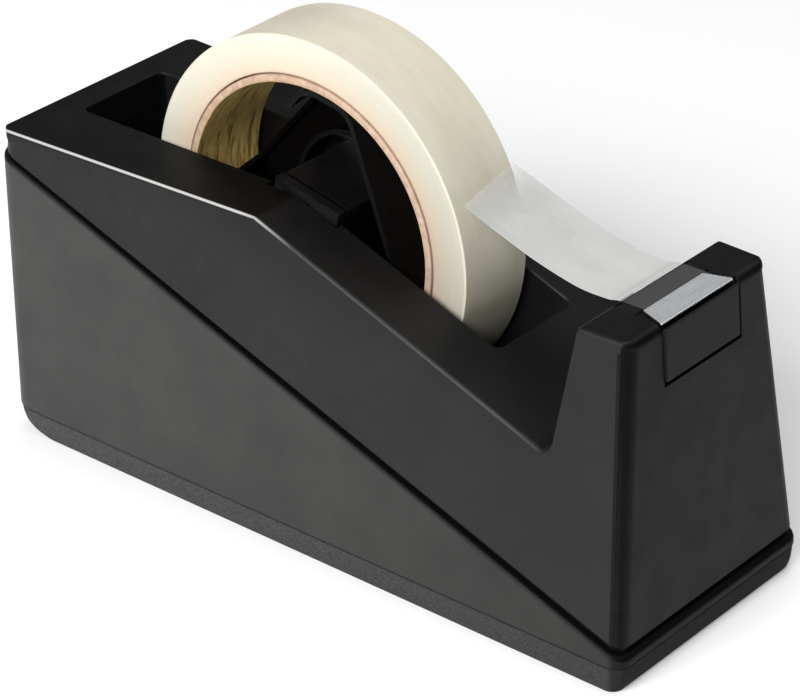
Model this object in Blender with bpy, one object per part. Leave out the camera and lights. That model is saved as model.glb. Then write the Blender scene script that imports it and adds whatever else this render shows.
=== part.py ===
"""Weighted desk tape dispenser for 25 mm tape on 3-inch cores, as an assembly of its real pieces.

Metres, +Z up, origin at the middle of the footprint. +X is the front, where the tape is cut.
"""

import math

import bmesh
import bpy
from mathutils import Vector

# Overall form
LENGTH = 0.204
WIDTH = 0.076
PAD_HEIGHT = 0.0070
SEAM_REAR_Z = 0.0832
SEAM_FRONT_Z = 0.0099
TOP_Z = 0.0890
HEAD_Z = 0.0896
BEND_X = -0.0160
RAIL_SLOPE = math.radians(20.2)
VALLEY_X = 0.0757
HEAD_REAR_X = 0.0800
SIDE_DRAFT = math.radians(7.1)
FRONT_DRAFT = math.radians(4.7)
REAR_DRAFT = math.radians(3.0)
FRONT_CORNER_RADIUS = 0.0042
REAR_CORNER_RADIUS = 0.0068
EDGE_RADIUS = 0.0011
WALL = 0.0024
CAVITY_DROP = 0.0060
GAP = 0.0003

# Rounding of the cover's corners in side view
HEAD_FRONT_RADIUS = 0.0028
HEAD_REAR_RADIUS = 0.0012
VALLEY_RADIUS = 0.0030
BEND_RADIUS = 0.0060
TAIL_RADIUS = 0.0010
SMALLEST_RADIUS = 0.0004
VALLEY_CORNER = 3

# Shadow groove between the cover and the lower housing, whose rim is rounded
COVER_STEP = 0.0006
GROOVE_REAR_HEIGHT = 0.0014
GROOVE_FRONT_HEIGHT = 0.0024
GROOVE_DEPTH = 0.0013
RIM_ROUND = 0.0012
RIM_WIDTH = 0.0026
BOTTOM_CHAMFER = 0.0005

# Grip pad from the bottom up: height, insets at the front, rear and sides, radii at the front and rear
PAD_PROFILE = (
    (0.0000, 0.0020, 0.0030, 0.0011, 0.0030, 0.0115),
    (0.0012, 0.0013, 0.0023, 0.0007, 0.0034, 0.0090),
    (0.0030, 0.0007, 0.0016, 0.0004, 0.0038, 0.0070),
    (0.0052, 0.0003, 0.0007, 0.0002, FRONT_CORNER_RADIUS, REAR_CORNER_RADIUS),
    (PAD_HEIGHT, 0.0002, 0.0003, 0.0002, FRONT_CORNER_RADIUS, REAR_CORNER_RADIUS),
)

# Tape well in the cover
WELL_REAR_X = -0.0915
WELL_FRONT_X = 0.0463
WELL_HALF_WIDTH = 0.0149
WELL_FLOOR_Z = 0.0240
WELL_CORNER = 0.0022
WELL_LIP = 0.0008
WELL_WALL = 0.0022
CLEAR_ABOVE = 0.010
SKIN = 0.0010

# Thickened walls that carry the spindle's tongues
BOSS_REAR_X = -0.0300
BOSS_REAR_Z = 0.0730
BOSS_FRONT_X = 0.0020
BOSS_FRONT_Z = 0.0690

# Reel: core, tape and hub, all turned about one axis along Y
AXIS_X = -0.0167
AXIS_Z = 0.0779
CORE_BORE_RADIUS = 0.0381
CORE_WALL = 0.0021
CORE_WIDTH = 0.0246
ROLL_RADIUS = 0.0508
TAPE_WIDTH = 0.0242
TURNED_SEGMENTS = 96

# Hub: a tapered shell of rounded triangular section that touches the core at its three corners
HUB_NEAR_FLAT = 0.0253
HUB_FAR_FLAT = 0.0280
HUB_CORNER = 0.0076
HUB_TOUCH_RADIUS = CORE_BORE_RADIUS - 0.0004
HUB_WALL = 0.0014
HUB_NEAR_Y = -0.0118
HUB_FAR_Y = 0.0122
HUB_BACK_PLATE = 0.0016
HUB_LOW_RIM = 0.0030
HUB_BORE_RADIUS = 0.0178
HUB_COLLAR_START = 0.0060
HUB_WINDOW_HALF = 0.0200
HUB_WINDOW_INNER = 0.0200
HUB_WINDOW_OUTER = 0.0450
HUB_CUT_MARGIN = 0.0010
HUB_TURN = math.radians(80.0)

# Spindle: a fixed barrel whose flat end tongues drop into recesses in the rails
SPINDLE_TILT = math.radians(11.3)
SPINDLE_LEFT = -0.0090
SPINDLE_RIGHT = 0.0122
SPINDLE_TOP = 0.01237
SPINDLE_BOTTOM = -0.0090
SPINDLE_HALF_LENGTH = 0.0130
NECK_INSET = 0.0016
NECK_LENGTH = 0.0009
TONGUE_BOTTOM = 0.0020
TONGUE_THICKNESS = 0.0026

# Cutting head
HOLDER_HALF_WIDTH = 0.0148
HOLDER_REAR_X = 0.0808
HOLDER_FLOOR_Z = 0.0748
HOLDER_TOP_Z = 0.0893
HOLDER_PROUD = 0.0006
HOLDER_LIP_Z = 0.0884
INSERT_GROOVE_WIDTH = 0.0014
INSERT_GROOVE_DEPTH = 0.0014
CHANNEL_DEPTH = 0.0018
LEDGE_LENGTH = 0.0026
BLADE_REAR_X = 0.0870
BLADE_TIP_X = 0.0943
BLADE_REAR_HALF = 0.0119
BLADE_FRONT_HALF = 0.0144
BLADE_TOP_Z = 0.0895
BLADE_LEG_Z = 0.0840
BLADE_LEG_HALF = 0.0110
BLADE_THICKNESS = 0.0005
TOOTH_COUNT = 34
TOOTH_DEPTH = 0.0005
STRIP_THICKNESS = 0.0003

# Free tape in side view: where its left and right edges leave the roll, then the way they share
STRIP_LEFT_START = (0.0294, 0.1009)
STRIP_RIGHT_START = (0.0337, 0.0997)
STRIP_PATH = (
    (0.0380, 0.0980),
    (0.0450, 0.0955),
    (0.0560, 0.0920),
    (0.0680, 0.0894),
    (0.0765, 0.0892),
    (0.0797, 0.0898),
    (0.0830, 0.0900),
    (0.0938, 0.0900),
)

# Ballast and fasteners
FLOOR_TOP_Z = 0.0103
BALLAST_X = (-0.0700, 0.0400)
BALLAST_HALF_WIDTH = 0.0300
BALLAST_THICKNESS = 0.0100
NOSE_BALLAST_X = (0.0600, 0.0935)
NOSE_BALLAST_HALF_WIDTH = 0.0210
NOSE_BALLAST_OUTLINE_TOP = ((0.0935, 0.0560), (0.0790, 0.0560), (0.0760, 0.0480), (0.0600, 0.0480))
POST_RADIUS = 0.0042
PILOT_DEPTH = 0.0125
POST_PLACES = ((-0.0820, -0.0270), (-0.0820, 0.0270), (0.0500, -0.0250), (0.0500, 0.0250))
BALLAST_SCREW_PLACES = ((-0.0600, 0.0), (0.0300, 0.0))
HOLDER_SCREW_PLACES = ((0.0868, -0.0080), (0.0868, 0.0080))
SCREW_RADIUS = 0.0015
SCREW_CLEARANCE_RADIUS = 0.0019
SCREW_HEAD_RADIUS = 0.0030
SCREW_HEAD_HEIGHT = 0.0015
SCREW_POINT = 0.0015
COVER_SCREW_LENGTH = 0.0140
BALLAST_SCREW_LENGTH = 0.0090
HOLDER_SCREW_LENGTH = 0.0100

FRONT_X = LENGTH / 2
HALF_WIDTH = WIDTH / 2


def clear_scene():
    for old in list(bpy.data.objects):
        bpy.data.objects.remove(old, do_unlink=True)


def make_material(name, colour, roughness, metallic=0.0):
    material = bpy.data.materials.new(name)
    material.use_nodes = True
    shader = material.node_tree.nodes["Principled BSDF"]
    shader.inputs["Base Color"].default_value = (*colour, 1.0)
    shader.inputs["Roughness"].default_value = roughness
    shader.inputs["Metallic"].default_value = metallic
    return material


def add_object(name, mesh, material=None, smooth_angle=35.0):
    """Puts a bmesh into the scene as an object; without a material it is a hidden cutter."""
    bmesh.ops.recalc_face_normals(mesh, faces=mesh.faces)
    if mesh.calc_volume(signed=True) < 0:
        bmesh.ops.reverse_faces(mesh, faces=mesh.faces)
    data = bpy.data.meshes.new(name)
    mesh.to_mesh(data)
    mesh.free()
    placed = bpy.data.objects.new(name, data)
    bpy.context.scene.collection.objects.link(placed)
    if material is None:
        placed.hide_render = True
        placed.display_type = "WIRE"
    else:
        data.materials.append(material)
        data.shade_smooth()
        data.set_sharp_from_angle(angle=math.radians(smooth_angle))
    return placed


def boolean(target, tool, operation="DIFFERENCE"):
    modifier = target.modifiers.new(tool.name, "BOOLEAN")
    modifier.operation = operation
    modifier.object = tool


# Shapes

def loft(rings):
    """A closed solid through rings of the same number of points, capped at both ends."""
    mesh = bmesh.new()
    rows = [[mesh.verts.new(point) for point in ring] for ring in rings]
    count = len(rows[0])
    for lower, upper in zip(rows, rows[1:]):
        for i in range(count):
            j = (i + 1) % count
            mesh.faces.new((lower[i], lower[j], upper[j], upper[i]))
    mesh.faces.new(rows[0][::-1])
    mesh.faces.new(rows[-1])
    return mesh


def rounded_plan(rear_x, front_x, half_y, rear_radius, front_radius, steps=6):
    """Plan outline, anticlockwise, with steps + 1 points on each corner arc."""
    points = []
    for quarter, (front, side) in enumerate(((True, 1), (False, 1), (False, -1), (True, -1))):
        radius = front_radius if front else rear_radius
        cx = front_x - radius if front else rear_x + radius
        cy = side * (half_y - radius)
        for step in range(steps + 1):
            angle = math.pi / 2 * (quarter + step / steps)
            points.append((cx + radius * math.cos(angle), cy + radius * math.sin(angle)))
    return points


def box(low, high):
    (x0, y0, z0), (x1, y1, z1) = low, high
    outline = ((x0, y0), (x1, y0), (x1, y1), (x0, y1))
    return loft([[(x, y, z) for x, y in outline] for z in (z0, z1)])


def side_prism(outline, y0, y1):
    """Extrudes an XZ outline along Y."""
    return loft([[(x, y, z) for x, z in outline] for y in (y0, y1)])


def turned_z(x, y, levels, segments=20):
    """A solid turned about a vertical axis, from (radius, height) pairs."""
    turns = [2 * math.pi * i / segments for i in range(segments)]
    rings = []
    for radius, z in levels:
        rings.append([(x + radius * math.cos(a), y + radius * math.sin(a), z) for a in turns])
    return loft(rings)


def cylinder_z(x, y, z0, z1, radius, segments=20):
    return turned_z(x, y, ((radius, z0), (radius, z1)), segments)


def cylinder_y(y0, y1, radius, segments=TURNED_SEGMENTS):
    """A cylinder about the local Y axis."""
    rings = []
    for y in (y0, y1):
        turns = [2 * math.pi * i / segments for i in range(segments)]
        rings.append([(radius * math.cos(a), y, radius * math.sin(a)) for a in turns])
    return loft(rings)


def turned_ring(inner, outer, half_width, edge):
    """A ring about the local Y axis with small rounded edges."""
    section = [
        (inner + edge, -half_width),
        (outer - edge, -half_width),
        (outer, -half_width + edge),
        (outer, half_width - edge),
        (outer - edge, half_width),
        (inner + edge, half_width),
        (inner, half_width - edge),
        (inner, -half_width + edge),
    ]
    mesh = bmesh.new()
    columns = []
    for i in range(TURNED_SEGMENTS):
        a = 2 * math.pi * i / TURNED_SEGMENTS
        columns.append([mesh.verts.new((r * math.cos(a), y, r * math.sin(a))) for r, y in section])
    for i, column in enumerate(columns):
        after = columns[(i + 1) % TURNED_SEGMENTS]
        for j in range(len(section)):
            k = (j + 1) % len(section)
            mesh.faces.new((column[j], column[k], after[k], after[j]))
    return mesh


def offset_outline(points, distance):
    """Moves each side of a closed anticlockwise outline inwards by distance."""
    moved = []
    for i, here in enumerate(points):
        before = Vector(points[i - 1])
        after = Vector(points[(i + 1) % len(points)])
        here = Vector(here)
        first = (here - before).normalized()
        second = (after - here).normalized()
        n1 = Vector((-first.y, first.x))
        n2 = Vector((-second.y, second.x))
        moved.append(here + (n1 + n2) * distance / (1 + n1.dot(n2)))
    return moved


def fillet(before, corner, after, radius, steps):
    """Points of the arc that rounds a corner."""
    to_before = (Vector(before) - Vector(corner)).normalized()
    to_after = (Vector(after) - Vector(corner)).normalized()
    half = to_before.angle(to_after) / 2
    bisector = (to_before + to_after).normalized()
    centre = Vector(corner) + bisector * radius / math.sin(half)
    start = Vector(corner) + to_before * radius / math.tan(half) - centre
    end = Vector(corner) + to_after * radius / math.tan(half) - centre
    sweep = start.angle_signed(end)
    points = []
    for step in range(steps + 1):
        angle = -sweep * step / steps
        turned = Vector((
            start.x * math.cos(angle) - start.y * math.sin(angle),
            start.x * math.sin(angle) + start.y * math.cos(angle),
        ))
        points.append(centre + turned)
    return points


# Housing and cover

def seam_z(x):
    """Height of the inclined seam between the lower housing and the cover."""
    return SEAM_REAR_Z + (SEAM_FRONT_Z - SEAM_REAR_Z) * (x + FRONT_X) / LENGTH


def cover_half_width(x, z):
    return HALF_WIDTH - COVER_STEP - (z - seam_z(x)) * math.tan(SIDE_DRAFT)


def front_wall_x(z):
    return FRONT_X - COVER_STEP - (z - SEAM_FRONT_Z) * math.tan(FRONT_DRAFT)


def rear_wall_x(z):
    return -FRONT_X + COVER_STEP + (z - SEAM_REAR_Z) * math.tan(REAR_DRAFT)


def rail_z(x):
    """Height of the top face: level at the rear, then sloping to the valley."""
    return TOP_Z - max(0.0, x - BEND_X) * math.tan(RAIL_SLOPE)


def lifted_seam_z(x):
    share = (x + FRONT_X) / LENGTH
    return seam_z(x) + GROOVE_REAR_HEIGHT + (GROOVE_FRONT_HEIGHT - GROOVE_REAR_HEIGHT) * share


def side_outline():
    """Sharp side view of the cover above its groove, anticlockwise from the front bottom corner."""
    front_x = front_wall_x(lifted_seam_z(FRONT_X))
    rear_x = rear_wall_x(lifted_seam_z(-FRONT_X))
    return [
        (front_x, lifted_seam_z(front_x)),
        (front_wall_x(HEAD_Z), HEAD_Z),
        (HEAD_REAR_X, HEAD_Z),
        (VALLEY_X, rail_z(VALLEY_X)),
        (BEND_X, TOP_Z),
        (rear_wall_x(TOP_Z), TOP_Z),
        (rear_x, lifted_seam_z(rear_x)),
    ]


def cover_path(inset, edge_radius, steps):
    """Points of the rounded side view, each with the radius that rounds it towards the side faces."""
    radii = (None, HEAD_FRONT_RADIUS, HEAD_REAR_RADIUS, VALLEY_RADIUS, BEND_RADIUS, TAIL_RADIUS, None)
    outline = offset_outline(side_outline(), inset)
    path = []
    for i, point in enumerate(outline):
        if radii[i] is None:
            corner = REAR_CORNER_RADIUS if i else FRONT_CORNER_RADIUS
            path.append((Vector(point), corner if edge_radius else 0.0))
            continue
        grow = inset if i == VALLEY_CORNER else -inset
        radius = max(SMALLEST_RADIUS, radii[i] + grow)
        for step, spot in enumerate(fillet(outline[i - 1], point, outline[i + 1], radius, steps)):
            side = edge_radius
            if i == 1 and edge_radius:
                side += (FRONT_CORNER_RADIUS - edge_radius) * (1 - step / steps)
            if i == 5 and edge_radius:
                side += (REAR_CORNER_RADIUS - edge_radius) * step / steps
            path.append((spot, side))
    return path


def cover_form(inset, drop, edge_radius, steps):
    """The cover as a solid, or with an inset its inner cavity, which reaches below the seam by drop."""
    path = cover_path(inset, edge_radius, steps)
    last = len(path) - 1
    seam_run = (path[0][0] - path[last][0]).normalized()
    normals = [seam_run]
    for before, after in zip(path, path[2:]):
        run = after[0] - before[0]
        normals.append(Vector((run.y, -run.x)).normalized())
    normals.append(-seam_run)
    rings = []
    turns = [math.pi / 2 * step / steps for step in range(steps + 1)] if edge_radius else [0.0]
    for turn in turns:
        ring = []
        for (spot, side), normal in zip(path, normals):
            moved = spot - normal * side * (1 - math.sin(turn))
            half = cover_half_width(moved.x, moved.y) - inset - side * (1 - math.cos(turn))
            ring.append((moved.x, half, moved.y))
        rings.append(ring)
    mesh = bmesh.new()
    rows = [[mesh.verts.new((x, -y, z)) for x, y, z in ring] for ring in rings]
    rows += [[mesh.verts.new(point) for point in ring] for ring in reversed(rings)]
    for lower, upper in zip(rows, rows[1:]):
        for i in range(last):
            mesh.faces.new((lower[i], lower[i + 1], upper[i + 1], upper[i]))
    mesh.faces.new(rows[0])
    mesh.faces.new(rows[-1][::-1])
    edge = [row[0] for row in rows] + [row[-1] for row in reversed(rows)]
    if drop:
        lower = lowered_loop(mesh, edge, drop)
        join_loops(mesh, edge, lower)
        mesh.faces.new(lower)
        return mesh
    groove_top = inner_loop(mesh, edge, GROOVE_DEPTH)
    join_loops(mesh, edge, groove_top)
    neck_bottom = [mesh.verts.new((*vert.co.xy, seam_z(vert.co.x) + GAP)) for vert in groove_top]
    join_loops(mesh, groove_top, neck_bottom)
    mesh.faces.new(neck_bottom)
    return mesh


def inner_loop(mesh, loop, inset):
    """New points inside the loop of the cover's lower edge, moved inwards in plan and kept on its plane."""
    moved = []
    count = len(loop)
    for i, vert in enumerate(loop):
        run = loop[(i + 1) % count].co - loop[i - 1].co
        inward = Vector((-run.y, run.x)).normalized() * inset
        x = vert.co.x + inward.x
        z = vert.co.z + lifted_seam_z(x) - lifted_seam_z(vert.co.x)
        moved.append(mesh.verts.new((x, vert.co.y + inward.y, z)))
    return moved


def lowered_loop(mesh, loop, drop):
    return [mesh.verts.new(vert.co - Vector((0, 0, drop))) for vert in loop]


def join_loops(mesh, first, second):
    count = len(first)
    for i in range(count):
        j = (i + 1) % count
        mesh.faces.new((first[i], first[j], second[j], second[i]))


def well_cutter():
    """The well: a rounded box whose top flares into a small lip that follows the bent top face."""
    def outline(grow):
        corner = WELL_CORNER + grow
        corners = rounded_plan(
            WELL_REAR_X - grow, WELL_FRONT_X + grow, WELL_HALF_WIDTH + grow, corner, corner, 3
        )
        points = []
        for i, (x, y) in enumerate(corners):
            points.append((x, y))
            next_x, next_y = corners[(i + 1) % len(corners)]
            if (x - BEND_X) * (next_x - BEND_X) < 0:
                points.append((BEND_X, y))
        return points

    rings = [[(x, y, WELL_FLOOR_Z) for x, y in outline(0.0)]]
    for step in range(4):
        turn = math.radians(25 * step)
        grow = WELL_LIP * (1 - math.cos(turn))
        sink = WELL_LIP * (1 - 1.12 * math.sin(turn))
        rings.append([(x, y, rail_z(x) - sink) for x, y in outline(grow)])
    rings.append([(x, y, TOP_Z + CLEAR_ABOVE) for x, y in outline(WELL_LIP)])
    return loft(rings)


def spindle_outline(left, right, bottom, top, corner=0.0):
    """The spindle's tilted rectangle in XZ, relative to the reel's axis."""
    square = [(left, bottom), (right, bottom), (right, top), (left, top)]
    points = []
    for i, point in enumerate(square):
        if corner:
            points += fillet(square[i - 1], point, square[(i + 1) % 4], corner, 3)
        else:
            points.append(Vector(point))
    cos, sin = math.cos(SPINDLE_TILT), math.sin(SPINDLE_TILT)
    return [(u * cos + v * sin, v * cos - u * sin) for u, v in points]


def recess_outline():
    """Room for a spindle tongue, open upwards so that the spindle lifts straight out."""
    grown = spindle_outline(
        SPINDLE_LEFT - GAP, SPINDLE_RIGHT + GAP, TONGUE_BOTTOM - GAP, SPINDLE_TOP
    )
    low_left, low_right, high_right, _ = [(x + AXIS_X, z + AXIS_Z) for x, z in grown]
    right = high_right[0] + GAP
    above = TOP_Z + CLEAR_ABOVE
    return [low_left, low_right, (right, high_right[1]), (right, above), (low_left[0], above)]


def corner_trim():
    """Upright block whose rear corners are rounded in plan; the cover keeps what lies inside it."""
    plan = rounded_plan(
        -FRONT_X + COVER_STEP, FRONT_X + CLEAR_ABOVE, HALF_WIDTH - COVER_STEP,
        REAR_CORNER_RADIUS, FRONT_CORNER_RADIUS, 5,
    )
    return loft([[(x, y, z) for x, y in plan] for z in (-CLEAR_ABOVE, HEAD_Z + CLEAR_ABOVE)])


def make_cover(material):
    cover = add_object("upper_cover", cover_form(0.0, 0.0, EDGE_RADIUS, 4), material)
    boolean(cover, add_object("corner_trim", corner_trim()), "INTERSECT")
    boolean(cover, add_object("cover_cavity", cover_form(WALL, CAVITY_DROP, 0.0, 3)))
    front = WELL_FRONT_X + WELL_WALL
    block = [
        (WELL_REAR_X - WELL_WALL, WELL_FLOOR_Z - WELL_WALL),
        (front, WELL_FLOOR_Z - WELL_WALL),
        (front, rail_z(front) - SKIN),
        (BEND_X, TOP_Z - SKIN),
        (WELL_REAR_X - WELL_WALL, TOP_Z - SKIN),
    ]
    half = WELL_HALF_WIDTH + WELL_WALL
    boolean(cover, add_object("well_block", side_prism(block, -half, half)), "UNION")
    boss = [
        (BOSS_REAR_X, BOSS_REAR_Z),
        (BOSS_FRONT_X, BOSS_FRONT_Z),
        (BOSS_FRONT_X, rail_z(BOSS_FRONT_X) - SKIN),
        (BEND_X, TOP_Z - SKIN),
        (BOSS_REAR_X, TOP_Z - SKIN),
    ]
    half += TONGUE_THICKNESS
    boolean(cover, add_object("spindle_boss", side_prism(boss, -half, half)), "UNION")
    seat_floor = HOLDER_FLOOR_Z - WALL
    seat = [
        (HOLDER_REAR_X - GAP - WALL, seat_floor),
        (front_wall_x(seat_floor) - SKIN / 2, seat_floor),
        (front_wall_x(HEAD_Z - SKIN) - SKIN / 2, HEAD_Z - SKIN),
        (HEAD_REAR_X - SKIN / 2, HEAD_Z - 2 * SKIN),
    ]
    half = HOLDER_HALF_WIDTH + GAP + WALL
    boolean(cover, add_object("holder_seat", side_prism(seat, -half, half)), "UNION")
    for number, (x, y) in enumerate(POST_PLACES, 1):
        post = cylinder_z(x, y, FLOOR_TOP_Z + GAP, rail_z(x + POST_RADIUS) - SKIN, POST_RADIUS)
        boolean(cover, add_object(f"post_{number}", post), "UNION")
    boolean(cover, add_object("well", well_cutter()))
    half = WELL_HALF_WIDTH + TONGUE_THICKNESS
    boolean(cover, add_object("spindle_recess", side_prism(recess_outline(), -half, half)))
    half = HOLDER_HALF_WIDTH + GAP
    notch = box((HOLDER_REAR_X - GAP, -half, HOLDER_FLOOR_Z - GAP), (FRONT_X, half, HEAD_Z + CLEAR_ABOVE))
    boolean(cover, add_object("holder_notch", notch))
    groove = box(
        (front_wall_x(HEAD_Z) - INSERT_GROOVE_DEPTH, -half, HOLDER_FLOOR_Z - INSERT_GROOVE_WIDTH),
        (FRONT_X, HOLDER_HALF_WIDTH + INSERT_GROOVE_WIDTH, HEAD_Z + CLEAR_ABOVE),
    )
    boolean(cover, add_object("insert_groove", groove))
    for number, (x, y) in enumerate(POST_PLACES, 1):
        pilot = cylinder_z(x, y, 0.0, FLOOR_TOP_Z + PILOT_DEPTH, SCREW_RADIUS + GAP, 12)
        boolean(cover, add_object(f"post_pilot_{number}", pilot))
    for number, (x, y) in enumerate(HOLDER_SCREW_PLACES, 1):
        hole = cylinder_z(x, y, seat_floor - SKIN, HOLDER_FLOOR_Z + SKIN, SCREW_CLEARANCE_RADIUS, 12)
        boolean(cover, add_object(f"holder_hole_{number}", hole))
    return cover


def make_housing(material):
    """An open tub cut off by the inclined seam plane."""
    bottom = PAD_HEIGHT + GAP

    def ring(inset, height):
        outline = rounded_plan(
            -FRONT_X + inset,
            FRONT_X - inset,
            HALF_WIDTH - inset,
            REAR_CORNER_RADIUS - inset,
            FRONT_CORNER_RADIUS - inset,
        )
        return [(x, y, height(x)) for x, y in outline]

    rings = [
        ring(BOTTOM_CHAMFER, lambda x: bottom),
        ring(0.0, lambda x: bottom + BOTTOM_CHAMFER),
    ]
    for step in range(4):
        turn = math.radians(30 * step)
        sink = RIM_ROUND * (1 - math.sin(turn))
        rings.append(ring(RIM_ROUND * (1 - math.cos(turn)), lambda x, sink=sink: seam_z(x) - sink))
    rings.append(ring(RIM_WIDTH, seam_z))
    rings.append(ring(RIM_WIDTH, lambda x: FLOOR_TOP_Z))
    housing = add_object("lower_housing", loft(rings), material)
    for number, (x, y) in enumerate(POST_PLACES + BALLAST_SCREW_PLACES, 1):
        hole = cylinder_z(x, y, 0.0, FLOOR_TOP_Z + SKIN, SCREW_CLEARANCE_RADIUS, 12)
        boolean(housing, add_object(f"floor_hole_{number}", hole))
        sink = cylinder_z(x, y, 0.0, bottom + SCREW_HEAD_HEIGHT + GAP, SCREW_HEAD_RADIUS + GAP, 16)
        boolean(housing, add_object(f"floor_sink_{number}", sink))


def make_pad(material):
    rings = []
    for z, front, rear, side, front_radius, rear_radius in PAD_PROFILE:
        outline = rounded_plan(-FRONT_X + rear, FRONT_X - front, HALF_WIDTH - side, rear_radius, front_radius)
        rings.append([(x, y, z) for x, y in outline])
    add_object("grip_pad", loft(rings), material)


def make_ballast(material):
    low = FLOOR_TOP_Z + GAP
    slab = box(
        (BALLAST_X[0], -BALLAST_HALF_WIDTH, low),
        (BALLAST_X[1], BALLAST_HALF_WIDTH, low + BALLAST_THICKNESS),
    )
    placed = add_object("ballast_slab", slab, material)
    for number, (x, y) in enumerate(BALLAST_SCREW_PLACES, 1):
        hole = cylinder_z(x, y, 0.0, PAD_HEIGHT + BALLAST_SCREW_LENGTH + SKIN, SCREW_RADIUS + GAP, 12)
        boolean(placed, add_object(f"slab_hole_{number}", hole))
    rear, front = NOSE_BALLAST_X
    outline = [(rear, low), (front, low), *NOSE_BALLAST_OUTLINE_TOP]
    half = NOSE_BALLAST_HALF_WIDTH
    add_object("nose_ballast", side_prism(outline, -half, half), material)


def make_screw(name, x, y, head_z, length, material):
    """A pan-head screw pointing up, its head at the bottom."""
    levels = (
        (SCREW_HEAD_RADIUS - GAP, head_z),
        (SCREW_HEAD_RADIUS, head_z + GAP),
        (SCREW_HEAD_RADIUS, head_z + SCREW_HEAD_HEIGHT),
        (SCREW_RADIUS, head_z + SCREW_HEAD_HEIGHT),
        (SCREW_RADIUS, head_z + length - SCREW_POINT),
        (SCREW_RADIUS / 5, head_z + length),
    )
    add_object(name, turned_z(x, y, levels, 16), material)


def make_screws(material):
    head_z = PAD_HEIGHT + GAP
    for number, (x, y) in enumerate(POST_PLACES, 1):
        make_screw(f"cover_screw_{number}", x, y, head_z, COVER_SCREW_LENGTH, material)
    for number, (x, y) in enumerate(BALLAST_SCREW_PLACES, 1):
        make_screw(f"ballast_screw_{number}", x, y, head_z, BALLAST_SCREW_LENGTH, material)
    under_seat = HOLDER_FLOOR_Z - WALL - GAP - SCREW_HEAD_HEIGHT
    for number, (x, y) in enumerate(HOLDER_SCREW_PLACES, 1):
        make_screw(f"holder_screw_{number}", x, y, under_seat, HOLDER_SCREW_LENGTH, material)


# Cutting head

def make_holder(material):
    """Insert that carries the blade: a landing, a ledge under the blade, a channel and a front lip."""
    ledge = BLADE_TOP_Z - BLADE_THICKNESS - GAP
    front = front_wall_x(HOLDER_FLOOR_Z) + HOLDER_PROUD
    outline = [
        (HOLDER_REAR_X, HOLDER_FLOOR_Z),
        (front, HOLDER_FLOOR_Z),
        (front_wall_x(HOLDER_LIP_Z) + HOLDER_PROUD, HOLDER_LIP_Z),
        (BLADE_TIP_X + 2 * GAP, HOLDER_LIP_Z),
        (BLADE_TIP_X + GAP, HOLDER_LIP_Z - CHANNEL_DEPTH),
        (BLADE_TIP_X - LEDGE_LENGTH + GAP, HOLDER_LIP_Z - CHANNEL_DEPTH),
        (BLADE_TIP_X - LEDGE_LENGTH, ledge),
        (BLADE_REAR_X - GAP, ledge),
        (BLADE_REAR_X - 2 * GAP, HOLDER_TOP_Z),
        (HOLDER_REAR_X, HOLDER_TOP_Z),
    ]
    half = HOLDER_HALF_WIDTH
    holder = add_object("blade_holder", side_prism(outline, -half, half), material)
    slot = box(
        (BLADE_REAR_X - GAP, -BLADE_LEG_HALF - GAP, BLADE_LEG_Z - GAP),
        (BLADE_REAR_X + BLADE_THICKNESS + GAP, BLADE_LEG_HALF + GAP, HOLDER_TOP_Z + SKIN),
    )
    boolean(holder, add_object("blade_slot", slot))
    for number, (x, y) in enumerate(HOLDER_SCREW_PLACES, 1):
        top = HOLDER_FLOOR_Z - WALL - SCREW_HEAD_HEIGHT + HOLDER_SCREW_LENGTH
        pilot = cylinder_z(x, y, HOLDER_FLOOR_Z - SKIN, top + SKIN, SCREW_RADIUS + GAP, 12)
        boolean(holder, add_object(f"holder_pilot_{number}", pilot))


def make_blade(material):
    """A folded steel strip: a flat top that widens to its toothed front edge, and a leg in the holder."""
    root_x = BLADE_TIP_X - TOOTH_DEPTH
    pitch = 2 * BLADE_FRONT_HALF / TOOTH_COUNT
    outline = [(BLADE_REAR_X, BLADE_REAR_HALF), (BLADE_REAR_X, -BLADE_REAR_HALF)]
    for tooth in range(TOOTH_COUNT):
        start = -BLADE_FRONT_HALF + tooth * pitch
        outline.append((root_x, start))
        outline.append((BLADE_TIP_X, start + pitch / 2))
    outline.append((root_x, BLADE_FRONT_HALF))
    rings = [[(x, y, z) for x, y in outline] for z in (BLADE_TOP_Z - BLADE_THICKNESS, BLADE_TOP_Z)]
    blade = add_object("cutting_blade", loft(rings), material)
    leg = box(
        (BLADE_REAR_X, -BLADE_LEG_HALF, BLADE_LEG_Z),
        (BLADE_REAR_X + BLADE_THICKNESS, BLADE_LEG_HALF, BLADE_TOP_Z - BLADE_THICKNESS / 2),
    )
    boolean(blade, add_object("blade_leg", leg), "UNION")


# Reel and spindle

def hub_outline(flat, touch, corner):
    """Three flats at one distance from the axis, joined through short arcs that reach the core."""
    turn = math.acos((flat - corner) / (touch - corner))
    points = []
    for index in range(3):
        middle = HUB_TURN + 2 * math.pi / 3 * index
        for side in (-1, 1):
            centre = middle + side * (math.pi / 3 - turn)
            first = middle - math.pi / 3 if side < 0 else centre
            last = centre if side < 0 else middle + math.pi / 3
            for step in range(5):
                angle = first + (last - first) * step / 4
                points.append((
                    (touch - corner) * math.cos(centre) + corner * math.cos(angle),
                    (touch - corner) * math.sin(centre) + corner * math.sin(angle),
                ))
    return points


def hub_loft(inset, stations):
    """The hub's section at each Y, or with an inset its hollow."""
    rings = []
    for y in stations:
        run = (y - HUB_NEAR_Y) / (HUB_FAR_Y - HUB_NEAR_Y)
        flat = HUB_NEAR_FLAT + (HUB_FAR_FLAT - HUB_NEAR_FLAT) * run
        section = hub_outline(flat - inset, HUB_TOUCH_RADIUS - inset, HUB_CORNER - inset)
        rings.append([(x, y, z) for x, z in section])
    return loft(rings)


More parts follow.
